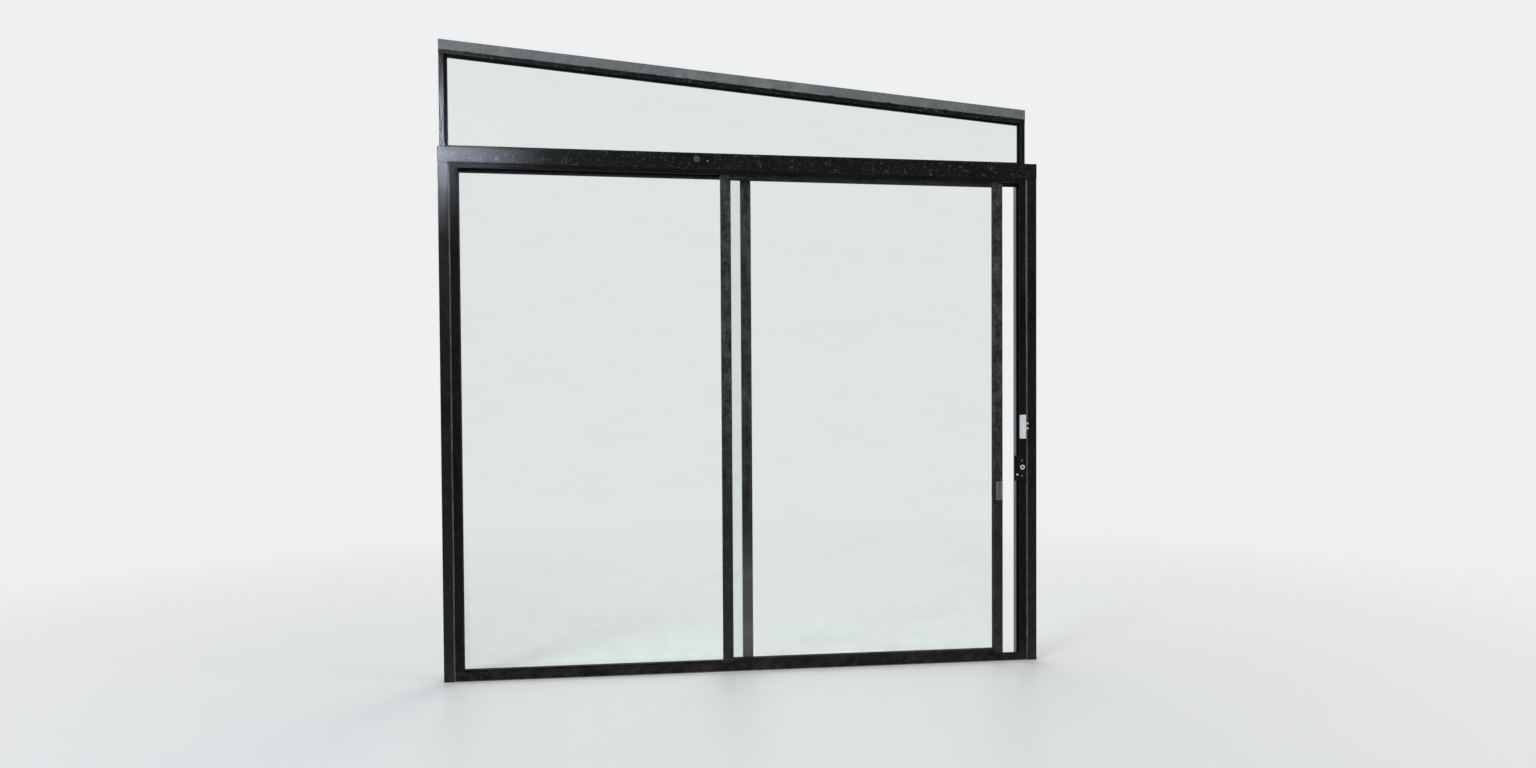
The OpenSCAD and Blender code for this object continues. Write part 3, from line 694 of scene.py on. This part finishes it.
left_jamb, right_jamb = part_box("frame_left_jamb"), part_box("frame_right_jamb")
POCKET_IN = 14 * MM
FIXING_HEIGHTS = (0.30, 0.85, 1.55, 2.15)
left_floor, right_floor = left_jamb[0].x + POCKET_IN, right_jamb[1].x - POCKET_IN
TRACK_Y = 23 * MM
jamb_seats = [seat((left_floor, -TRACK_Y, z), RIGHTWARD, z) for z in FIXING_HEIGHTS]
jamb_seats += [
    seat((right_floor, y, z), LEFTWARD, z) for z in FIXING_HEIGHTS for y in (-TRACK_Y, TRACK_Y)
]
screws("jamb_screws", jamb_seats, zinc_plate, "wall")
print("jamb screws:", len(jamb_seats), "of", len(pan_head(4 * MM, 2 * MM).faces), "faces each")

# %% Corner screws of the sliding panel
sash_low, sash_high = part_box("sash_lock_stile")
sash_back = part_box("sash_meeting_stile")[0]
sash_mid_y = (sash_low.y + sash_high.y) / 2
SASH_ENDS = (sash_high.x, RIGHTWARD), (sash_back.x, LEFTWARD)
CORNER_HEIGHTS = (sash_low.z + 42 * MM, sash_high.z - 12 * MM)
PLUG_HEIGHT = sash_low.z + 17 * MM
corner_seats = [
    seat((x, sash_mid_y + side * 7 * MM, z), facing, z * 9 + side)
    for x, facing in SASH_ENDS
    for z in CORNER_HEIGHTS
    for side in (-1, 1)
]
screws("corner_screws", corner_seats, zinc_plate, "sliding_panel", 3.4, 1.9)
plug_shape = turned([(0, 1.5), (2.6, 1.4), (3.4, 0.9), (4.6, 0.9), (5.0, 0.5), (5.0, 0.0), (0, 0)], 20)
plug_seats = [seat((x, sash_mid_y, PLUG_HEIGHT), facing) for x, facing in SASH_ENDS]
plugs = copies(plug_shape, plug_seats)
piece("roller_plugs", plugs, guide_black, "sliding_panel")
print("corner screws:", len(corner_seats), "plugs:", len(plug_seats))

# %% [markdown]
# ## Beads: silicone and weld
#
# A bead is a ring that travels. The ring is extruded along the joint in short steps, and
# every new ring gets its own width, height and sideways drift. For silicone these come
# from slow noise, because a hand never holds the gun quite still. For weld they follow a
# saw tooth, which leaves the row of overlapping scales that a welder calls ripples.

# %% A bead along a joint
def bead_seat(start, end, out):
    run = (Vector(end) - Vector(start)).normalized()
    side = Vector(out).cross(run)
    return Matrix.Translation(start) @ Matrix((side, Vector(out), run)).transposed().to_4x4()


def bead(start, end, out, step, section, sides=10):
    length = (Vector(end) - Vector(start)).length
    bm = bmesh.new()
    rings = [bmesh.ops.create_circle(bm, segments=sides, radius=1.0)["verts"]]
    edges = list(bm.edges)
    for _ in range(max(2, round(length / step))):
        grown = bmesh.ops.extrude_edge_only(bm, edges=edges)["geom"]
        rings.append([part for part in grown if isinstance(part, bmesh.types.BMVert)])
        edges = [part for part in grown if isinstance(part, bmesh.types.BMEdge)]
    for count, ring in enumerate(rings):
        along = length * count / (len(rings) - 1)
        width, proud, drift = section(along, length)
        for vert in ring:
            vert.co = (vert.co.x * width + drift, vert.co.y * proud, along)
    for ring in (rings[0], rings[-1]):
        bmesh.ops.contextual_create(bm, geom=list(ring))
    bmesh.ops.recalc_face_normals(bm, faces=bm.faces)
    bmesh.ops.transform(bm, matrix=bead_seat(start, end, out), verts=bm.verts)
    return bm


def joined(parts):
    bm = bmesh.new()
    for part in parts:
        mesh = bpy.data.meshes.new("part")
        part.to_mesh(mesh)
        part.free()
        bm.from_mesh(mesh)
        bpy.data.meshes.remove(mesh)
    return bm


# %% Silicone round the door frame
def hand_laid(seed, half, proud, wander, lean=0.0):
    def section(along, length):
        slow = noise.noise(Vector((along * 2.2, seed, 0.0)))
        quick = noise.noise(Vector((along * 17.0, seed, 5.0)))
        fine = noise.noise(Vector((along * 70.0, seed, 9.0)))
        width = half * (1 + 0.28 * quick + 0.12 * fine)
        height = proud * (1 + 0.22 * quick - 0.10 * fine)
        return width, height, wander * slow + lean * (along / length) ** 2

    return section


frame_low, frame_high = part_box("frame_head")
room_y, weather_y = frame_low.y, frame_high.y
joint_x = (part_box("right_post")[0].x + frame_high.x) / 2
joint_z = (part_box("header_beam")[0].z + frame_high.z) / 2
STEP = 12 * MM
FOOT_Z, SILL_Z, UNDER_HEADER_Z = 3 * MM, 2.6 * MM, joint_z - 6 * MM


def upright_bead(x, y, top, out, section):
    return bead((x, y, FOOT_Z), (x, y, top), out, STEP, section)


def level_bead(y, z, out, section):
    return bead((-joint_x, y, z), (joint_x, y, z), out, STEP, section)


inner = hand_laid(1.0, 3.9 * MM, 2.1 * MM, 1.6 * MM)
drifting = hand_laid(2.0, 4.1 * MM, 2.2 * MM, 2.0 * MM, 6.0 * MM)
outer = hand_laid(3.0, 3.4 * MM, 1.9 * MM, 0.8 * MM)
frame_beads = [
    upright_bead(-joint_x, room_y, UNDER_HEADER_Z, ROOM, inner),
    upright_bead(joint_x, room_y, UNDER_HEADER_Z, ROOM, drifting),
    upright_bead(-joint_x, weather_y, joint_z, WEATHER, outer),
    upright_bead(joint_x, weather_y, joint_z, WEATHER, outer),
    level_bead(weather_y, joint_z, WEATHER, outer),
]
silicone_beads = piece("silicone_beads", joined(frame_beads), silicone, "wall")
# The bead under the header takes the black frame coat instead of grey silicone, so the joint there reads
# black.
black_bead_under_header = level_bead(room_y, joint_z, ROOM, hand_laid(5.0, 3.0 * MM, 1.8 * MM, 0.5 * MM))
piece("black_header_bead", black_bead_under_header, coat_level, "wall")
along_sill = level_bead(room_y, SILL_Z, ROOM, hand_laid(4.0, 2.0 * MM, 2.6 * MM, 0.2 * MM))
sill_bead = piece("sill_bead", along_sill, silicone, "wall")
print("silicone:", len(silicone_beads.data.polygons) + len(sill_bead.data.polygons), "faces")

# %% Weld beads on the steel
RIPPLE = 2.4 * MM


def rippled(half, proud, seed):
    def section(along, length):
        tooth = (along / RIPPLE) % 1.0
        ends = min(1.0, 6 * along / length + 0.35, 6 * (length - along) / length + 0.35)
        shake = noise.noise(Vector((along * 60, seed, 0.0)))
        swell = ends * (0.86 + 0.14 * tooth + 0.10 * shake)
        return half * swell, proud * swell, 0.5 * MM * shake

    return section


def weld(start, end, out, half=3.2 * MM, proud=1.5 * MM):
    seed = start[0] * 3.1 + start[2]
    return bead(start, end, out, RIPPLE / 3, rippled(half, proud, seed), sides=8)


post_low, post_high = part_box("right_post")
header_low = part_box("header_beam")[0]
ROUND = 5 * MM
FAT = 3.0 * MM, 2.6 * MM
welds = []
for side in (-1, 1):
    inner, outer_x = side * (post_low.x + ROUND), side * (post_high.x - ROUND)
    welds.append(weld((inner, post_low.y, post_high.z), (outer_x, post_low.y, post_high.z), ROOM))
for stud, outside in (("left_stud", LEFTWARD), ("right_stud", RIGHTWARD)):
    low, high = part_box(stud)
    foot = low.z
    outer_x = low.x if outside is LEFTWARD else high.x
    welds.append(weld((low.x + 3 * MM, low.y, foot), (high.x - 3 * MM, low.y, foot), ROOM))
    welds.append(weld((low.x + 2 * MM, high.y, foot), (high.x - 2 * MM, high.y, foot), WEATHER, *FAT))
    welds.append(weld((outer_x, low.y + 4 * MM, foot), (outer_x, high.y - 3 * MM, foot), outside, *FAT))
piece("post_and_stud_welds", joined(welds), steel_level, "wall")
print("welds at posts and studs:", len(welds))

# %% Stitches between the head rail and the rafter
rail_low, rail_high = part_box("head_rail")
SLOPE = math.radians(4.6)
RAIL_T = 20 * MM / math.cos(SLOPE)


def under_rail(x):
    return rail_low.z + (rail_high.x - x) * math.tan(SLOPE)


def on_rail(x):
    return under_rail(x) + RAIL_T


def sloped_weld(x, length, height, out, y):
    return weld((x, y, height(x)), (x + length, y, height(x + length)), out, 2.6 * MM, 1.4 * MM)


stitch_xs = [rail_low.x + 0.12 + 0.3 * count for count in range(10)]
stitches = [sloped_weld(x, 28 * MM, on_rail, ROOM, rail_low.y) for x in stitch_xs]
for stud in ("left_stud", "right_stud"):
    low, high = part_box(stud)
    stitches.append(sloped_weld(low.x + 2 * MM, high.x - low.x - 4 * MM, under_rail, ROOM, low.y))
piece("rail_stitches", joined(stitches), steel_level, "wall")
print("stitches:", len(stitches))

# %% [markdown]
# ## The keeper and its fittings
#
# The plate that the latch bolt meets is screwed to the jamb and carries a bright turned
# ring. A short tongue of the same plate reaches into the gap and carries a bright stud.
# Ring and stud are lathe work, so both are a profile spun round an axis. The tongue is a
# flat bar whose free corners are rounded first and whose edges are then broken.

# %% Keeper tongue, ring, stud and screws
def rounded_plate(low, high, corner, edge, is_corner):
    size = Vector(high) - Vector(low)
    bm = block(size, Vector(low) + size / 2)
    picked = [line for line in bm.edges if is_corner(line)]
    bmesh.ops.bevel(bm, geom=picked, offset=corner, segments=6, **SOFTEN)
    bmesh.ops.recalc_face_normals(bm, faces=bm.faces)
    sharp = [line for line in bm.edges if line.calc_face_angle(0.0) > math.radians(60)]
    bmesh.ops.bevel(bm, geom=sharp, offset=edge, segments=2, **SOFTEN)
    return bm


def runs_along(axis):
    def test(line):
        run = (line.verts[1].co - line.verts[0].co).normalized()
        return abs(run[axis]) > 0.99

    return test


keeper_low, keeper_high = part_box("lock_keeper")
TONGUE = 26 * MM


def free_corner(line):
    return runs_along(1)(line) and line.verts[0].co.x < keeper_low.x - TONGUE / 2


tongue_low = (keeper_low.x - TONGUE, keeper_low.y, keeper_low.z)
tongue_high = (keeper_low.x, keeper_low.y + 2.4 * MM, keeper_high.z)
piece(
    "keeper_tongue",
    rounded_plate(tongue_low, tongue_high, 7 * MM, 0.5 * MM, free_corner),
    coat_upright,
    "wall",
)


def on_keeper(across, up):
    return Vector((keeper_low.x + across, keeper_low.y, keeper_low.z + up))


ring_place = on_keeper(19 * MM, 73 * MM)
ring_profile = [(6.3, 0), (6.3, 2.4), (7.0, 3.6), (8.6, 4.4), (10.4, 4.4)]
ring_profile += [(12.0, 3.4), (12.9, 1.4), (12.9, 0), (6.3, 0)]
lathe_fitting("keeper_ring", ring_profile, ring_place, bright_steel, 40)
core_profile = [(0, 1.6), (1.2, 1.6), (2.0, 0.7), (3.4, 1.5), (5.2, 1.7), (6.2, 1.2), (6.2, 0), (0, 0)]
lathe_fitting("keeper_core", core_profile, ring_place, guide_black)
stud_place = on_keeper(-9 * MM, 34 * MM)
stud_profile = [(0, 3.2), (1.6, 3.1), (3.4, 2.5), (4.8, 1.4), (5.4, 0.4), (5.4, 0), (0, 0)]
lathe_fitting("keeper_stud", stud_profile, stud_place, bright_steel)
SCREWS_IN = (keeper_high.x - keeper_low.x) / 2 + 1.25 * MM
keeper_seats = [seat(on_keeper(SCREWS_IN, up), ROOM, up * 30) for up in (28 * MM, 108 * MM)]
screws("keeper_screws", keeper_seats, zinc_plate, "wall", 4.2, 2.0)
print("keeper fittings: tongue, ring, core, stud and", len(keeper_seats), "screws")

# %% [markdown]
# ## The header's blanking grommet and the cleat's screws
#
# A hole for a wire was drilled through the header and then closed with a rubber grommet,
# which shows as a faint ring right of the middle of the left pane. A forgotten screw sits
# beside it. On the cleat at the low end of the rafter are two hexagon-headed screws with
# the washer pressed into the head.

# %% Grommet, stray screw and hexagon screws
HEADER_MARKS = {"grommet": (-0.264, 2.607), "screw": (-0.209, 2.598)}
lip = [(0, 0.5), (9.5, 0.7), (11.0, 0.9), (12.2, 2.0), (14.0, 2.7), (15.8, 2.2)]
lip += [(17.0, 0.8), (17.0, 0), (0, 0)]
grommet_x, grommet_z = HEADER_MARKS["grommet"]
grommet_place = (grommet_x, header_low.y, grommet_z)
lathe_fitting("header_grommet", lip, grommet_place, pile_grey, 44)
stray_x, stray_z = HEADER_MARKS["screw"]
stray_seat = seat((stray_x, header_low.y, stray_z), ROOM, 0.4)
screws("stray_screw", [stray_seat], zinc_plate, "wall")
cleat_low, cleat_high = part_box("rafter_cleat")
cleat_mid = (cleat_low + cleat_high) / 2
cleat_seats = [
    seat((cleat_mid.x + side * 11 * MM, cleat_low.y, cleat_mid.z + 4 * MM), ROOM, side) for side in (-1, 1)
]
hexagons = copies(hex_head(3.6, 4.0), cleat_seats)
piece("cleat_screws", hexagons, zinc_plate, "wall")
print("cleat screws:", len(cleat_seats))

# %% [markdown]
# ## Brush seals
#
# Strips of woven pile close the gap between the sliding panel and the fins of the frame.
# A strip is a long bar cut into short lengths, and the tips of its fibres are pushed
# about by noise, so its edge looks cut and a little crushed. It ends half a millimetre
# before the panel's pull, which slides past it. The strip on the head is thinner, since
# the panel's guides run just above it.

# %% Brush seals on the room side
FIN = 2.2 * MM
PILE_CLEAR = 0.5 * MM
pile_root = room_y + FIN
pile_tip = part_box("flush_pull")[0].y - PILE_CLEAR


def pile(start, end, thick, cut=6 * MM):
    start, end = Vector(start), Vector(end)
    run = end - start
    across = Vector((0, 0, 1)) if abs(run.x) > abs(run.z) else Vector((1, 0, 0))
    size = Vector(tuple(abs(r) + a * thick for r, a in zip(run, across)))
    size.y = pile_tip - pile_root
    middle = (start + end) / 2 + across * thick / 2
    middle.y = (pile_root + pile_tip) / 2
    bm = block(size, middle)
    long_lines = [line for line in bm.edges if line.calc_length() > run.length * 0.9]
    bmesh.ops.subdivide_edges(bm, edges=long_lines, cuts=round(run.length / cut), use_grid_fill=True)
    for vert in bm.verts:
        if vert.co.y > middle.y:
            tuft = noise.noise(vert.co * 240)
            vert.co.y -= (0.5 + 0.5 * tuft) * 1.1 * MM
            vert.co += across * noise.noise(vert.co * 150 + Vector((7, 0, 0))) * 0.9 * MM
    return bm


head_low_z = frame_low.z + 0.2 * MM
sill_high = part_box("frame_sill")[1]
pile_end = right_jamb[0].x
PILE_T, HEAD_PILE_T, PILE_BACK = 4.5 * MM, 2.8 * MM, 1.5 * MM
sill_pile_z = sill_high.z - 7 * MM
upright_low_z, upright_high_z = sill_high.z + 4 * MM, frame_low.z - 4 * MM
strips = [
    pile((-pile_end, 0, head_low_z), (pile_end, 0, head_low_z), HEAD_PILE_T),
    pile((-pile_end, 0, sill_pile_z), (pile_end, 0, sill_pile_z), PILE_T),
]
for x in (pile_end + PILE_BACK, -pile_end - PILE_BACK - PILE_T):
    strips.append(pile((x, 0, upright_low_z), (x, 0, upright_high_z), PILE_T))
brush_seals = piece("brush_seals", joined(strips), pile_grey, "wall")
print("brush seals:", len(strips), "strips,", len(brush_seals.data.polygons), "faces")

# %% [markdown]
# ## The cover strip of the empty track
#
# On the latch side nothing runs in the outer track, so its pocket in the jamb is closed
# with a snap-in strip. Seen from inside it is the smooth side of the opening that mirrors
# daylight. It is a flat bar with two legs that reach back past the stepped fins to the
# floor of the pocket, made by extruding a narrow band along each long edge of a thin
# plate.

# %% Cover strip in the right jamb
STRIP_T, LEG = 1.5 * MM, 26 * MM
strip_low_y, strip_high_y = FIN / 2 + 0.3 * MM, weather_y - FIN - 0.3 * MM
strip_x = right_jamb[0].x + 0.4 * MM


def cover_strip(low_z, high_z):
    size = Vector((STRIP_T, strip_high_y - strip_low_y, high_z - low_z))
    bm = block(size)
    for y in (-size.y / 2 + STRIP_T, size.y / 2 - STRIP_T):
        whole = bm.verts[:] + bm.edges[:] + bm.faces[:]
        bmesh.ops.bisect_plane(bm, geom=whole, plane_co=(0, y, 0), plane_no=(0, 1, 0))
    back = [face for face in bm.faces if face.normal.x > 0.9]
    bands = [face for face in back if abs(face.calc_center_median().y) > size.y / 2 - STRIP_T]
    legs = bmesh.ops.extrude_discrete_faces(bm, faces=bands)["faces"]
    bmesh.ops.translate(bm, verts=list({vert for face in legs for vert in face.verts}), vec=(LEG, 0, 0))
    shown = [line for line in bm.edges if runs_along(2)(line) and max(v.co.x for v in line.verts) < 0]
    shown = [line for line in shown if abs(line.verts[0].co.y) > size.y / 2 - STRIP_T / 2]
    bmesh.ops.bevel(bm, geom=shown, offset=0.6 * MM, segments=3, **SOFTEN)
    middle = (strip_x + STRIP_T / 2, (strip_low_y + strip_high_y) / 2, (low_z + high_z) / 2)
    bmesh.ops.translate(bm, verts=bm.verts, vec=middle)
    return bm


strip = cover_strip(sill_high.z - 22 * MM, frame_high.z - 4 * MM)
jamb_cover_strip = piece("jamb_cover_strip", strip, strip_coat, "wall")
print("cover strip:", len(jamb_cover_strip.data.polygons), "faces")

# %% [markdown]
# ## Weep hoods
#
# Rain that gets into the sill drains through four slots on the weather side. Each slot has
# a small moulded hood, a shallow cap that is open below. It starts as a block whose outer
# edges are rounded, and its underside is then inset and pushed up to hollow it.

# %% Weep hoods on the weather side
WEEP_XS = [-1.207, -0.402, 0.402, 1.207]
HOOD = Vector((40, 3, 11)) * MM


def weep_hood():
    bm = block(HOOD, (0, HOOD.y / 2, HOOD.z / 2))
    shown = [line for line in bm.edges if min(v.co.y for v in line.verts) > HOOD.y / 2 or runs_along(1)(line)]
    shown = [line for line in shown if max(v.co.z for v in line.verts) > HOOD.z / 2]
    bmesh.ops.bevel(bm, geom=shown, offset=1.6 * MM, segments=4, **SOFTEN)
    under = [face for face in bm.faces if face.normal.z < -0.9]
    bmesh.ops.inset_region(bm, faces=under, thickness=0.9 * MM, depth=-7 * MM)
    return bm


hood_seats = [Matrix.Translation((x, weather_y, 1 * MM)) for x in WEEP_XS]
piece("weep_hoods", copies(weep_hood(), hood_seats), guide_black, "wall")
print("weep hoods:", len(hood_seats))

# %% [markdown]
# ## The junction box
#
# The white box on the right jamb is an ordinary moulded housing. Its cover stands for the
# packed cover: the same block, but with rounded edges, a shadow line near its lower end
# and two sunk screws. Two cable glands with closed caps fill the entries on its side.

# %% Cover, screws and glands
cover_low, cover_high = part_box("junction_box_cover")
box_low, box_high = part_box("junction_box")
SEAM_UP, SEAM = 15 * MM, 1.0 * MM
SUNK = 0.5 * MM


def moulded_cover():
    size = cover_high - cover_low - Vector((0, SUNK, 0))
    bm = block(size, cover_low + Vector((0, SUNK, 0)) + size / 2)
    front = cover_low.y + SUNK
    edges = [line for line in bm.edges if runs_along(1)(line) or max(v.co.y for v in line.verts) < front + MM]
    bmesh.ops.bevel(bm, geom=edges, offset=2.2 * MM, segments=4, **SOFTEN)
    for up in (SEAM_UP, SEAM_UP + SEAM):
        cut = bm.verts[:] + bm.edges[:] + bm.faces[:]
        bmesh.ops.bisect_plane(bm, geom=cut, plane_co=cover_low + Vector((0, 0, up)), plane_no=(0, 0, 1))
    middle = cover_low.z + SEAM_UP + SEAM / 2
    band = [face for face in bm.faces if abs(face.calc_center_median().z - middle) < SEAM / 3]
    band = [face for face in band if face.normal.y < 0.9]
    bmesh.ops.inset_region(bm, faces=band, thickness=0.15 * MM, depth=-0.7 * MM, use_boundary=False)
    return bm


box_cover = piece("box_cover", moulded_cover(), box_white, "wall")
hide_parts("junction_box_cover")
cover_mid_x = (cover_low.x + cover_high.x) / 2
cover_heights = (cover_low.z + 7 * MM, cover_high.z - 8 * MM)
cover_seats = [seat((cover_mid_x, cover_low.y + SUNK, z), ROOM, z * 7) for z in cover_heights]
screws("cover_screws", cover_seats, box_white, "wall", 2.8, 0.5)
GLAND_HEIGHTS = (1.262, 1.236)
gland_profile = [(0, 17), (2.4, 16.8), (4.6, 15.6), (5.6, 13.2), (5.6, 8.2)]
gland_profile += [(6.6, 8.0), (6.6, 6.4), (5.2, 6.2), (5.2, 3.0), (0, 3.0)]
gland_y = (cover_high.y + box_low.y) / 2 + 1.0 * MM
gland_seats = [seat((box_high.x, gland_y, z), RIGHTWARD) for z in GLAND_HEIGHTS]
glands = copies(turned(gland_profile, 26), gland_seats)
piece("box_glands", glands, bright_steel, "wall")
nuts = copies(hex_head(4.6, 3.0), gland_seats)
piece("gland_nuts", nuts, guide_black, "wall")
print("box fittings: cover,", len(cover_seats), "screws,", len(gland_seats), "glands")

# %% [markdown]
# ## The studio
#
# A pale floor runs back until it fades into the backdrop, so there is no horizon behind
# the glass. In the photograph it was bright outside and dark behind the camera, which is
# why the wall's black faces look so deep while the sides of its bars shine. The world
# therefore has two jobs. Rays from the camera and through the glass see a pale backdrop,
# mirrored rays see it too but dimmer on the camera's side, and the light it sheds on the
# object is an even one. The lamps stand outside the cone that the panes mirror to the
# camera, and their edges fall off softly, as a lamp behind cloth does.

# %% Floor that fades into the backdrop
BACKDROP = (0.86, 0.87, 0.88)
FLOOR_TONE = (0.88, 0.89, 0.90)
FADE_FROM, FADE_TO = 0.6, 7.5
FLOOR_R = 40.0
DARK_ROOM = 0.07


def dark_to_bright(outward):
    return outward.ramp(-0.55, 0.35) * (1 - DARK_ROOM) + DARK_ROOM


def fading_floor():
    finish = Finish("studio_floor")
    flat = finish.stretched((1.0, 1.0, 0.0))
    away = finish.add("VectorMath", {"operation": "LENGTH"}, {0: flat}, out="Value")
    near = finish.surface(base_color=FLOOR_TONE, roughness=0.42, specular_ior_level=0.3)
    mirrored = finish.ray("Glossy")
    level = finish.straight().max(mirrored * dark_to_bright(finish.axis(flat, 1) / away)).max(1 - mirrored)
    far = finish.add("Emission", {}, {"Color": (*BACKDROP, 1.0), "Strength": level})
    fade = finish.add("MixShader", {}, {0: away.ramp(FADE_FROM, FADE_TO), 1: near, 2: far})
    return finish.done(fade)


def make_floor():
    bm = bmesh.new()
    bmesh.ops.create_circle(bm, cap_ends=True, segments=96, radius=FLOOR_R)
    mesh = bpy.data.meshes.new("studio_floor")
    bm.to_mesh(mesh)
    bm.free()
    floor = bpy.data.objects.new("studio_floor", mesh)
    bpy.context.scene.collection.objects.link(floor)
    mesh.materials.append(fading_floor())
    floor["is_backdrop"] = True


make_floor()
print("floor radius", FLOOR_R)

# %% World
WORLD_LIGHT = 0.58


def make_world():
    world = bpy.data.worlds.new("studio")
    bpy.context.scene.world = world
    sky = Nodes(world)
    outward = sky.axis(sky.add("TexCoord", {}, {}, out="Generated"), 1)
    mirrored = sky.ray("Glossy")
    level = sky.straight().max(mirrored * dark_to_bright(outward)).max((1 - mirrored) * WORLD_LIGHT)
    light = sky.add("Background", {}, {"Color": (*BACKDROP, 1.0), "Strength": level})
    sky.add("OutputWorld", {}, {"Surface": light})


make_world()
print("world light", WORLD_LIGHT)

# %% Lamps
def soft_lamp(name, place, target, width, height, watts, colour, spread=180):
    data = bpy.data.lights.new(name, "AREA")
    data.shape = "RECTANGLE"
    data.size, data.size_y = width, height
    data.energy, data.spread = watts, math.radians(spread)
    lamp = bpy.data.objects.new(name, data)
    lamp.location = place
    aim = Vector(target) - Vector(place)
    lamp.rotation_euler = aim.to_track_quat("-Z", "Y").to_euler()
    lamp.visible_camera = lamp.visible_transmission = False
    bpy.context.scene.collection.objects.link(lamp)
    cloth = Nodes(data)
    across = cloth.add("NewGeometry", {}, {}, out="Parametric")
    u, v = cloth.axis(across, 0), cloth.axis(across, 1)
    even_out = u * (1 - u) * v * (1 - v) * 36.0
    glow = cloth.add("Emission", {}, {"Color": (*colour, 1.0), "Strength": even_out})
    cloth.add("OutputLight", {}, {"Surface": glow})
    return lamp


lamps = [
    soft_lamp("key", (-6.2, -6.6, 6.4), (-0.2, 0.0, 1.6), 4.4, 4.4, 300, (0.92, 0.96, 1.0)),
    soft_lamp("high_window", (-3.05, -4.6, 3.86), (-1.50, 0.0, 2.66), 0.6, 0.4, 1.5, (0.74, 0.82, 1.0), 8),
    soft_lamp("fill", (8.2, -3.8, 5.2), (0.4, 0.0, 1.3), 2.8, 3.0, 120, (1.0, 0.98, 0.95)),
    soft_lamp("daylight", (0.8, 5.2, 5.4), (0.0, 0.0, 1.2), 5.0, 3.2, 120, (1.0, 1.0, 0.95)),
]
print("lamps:", [lamp.name for lamp in lamps])

# %% Measures
low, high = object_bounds()
print("visual box:", [round(v, 4) for v in (*low, *high)])
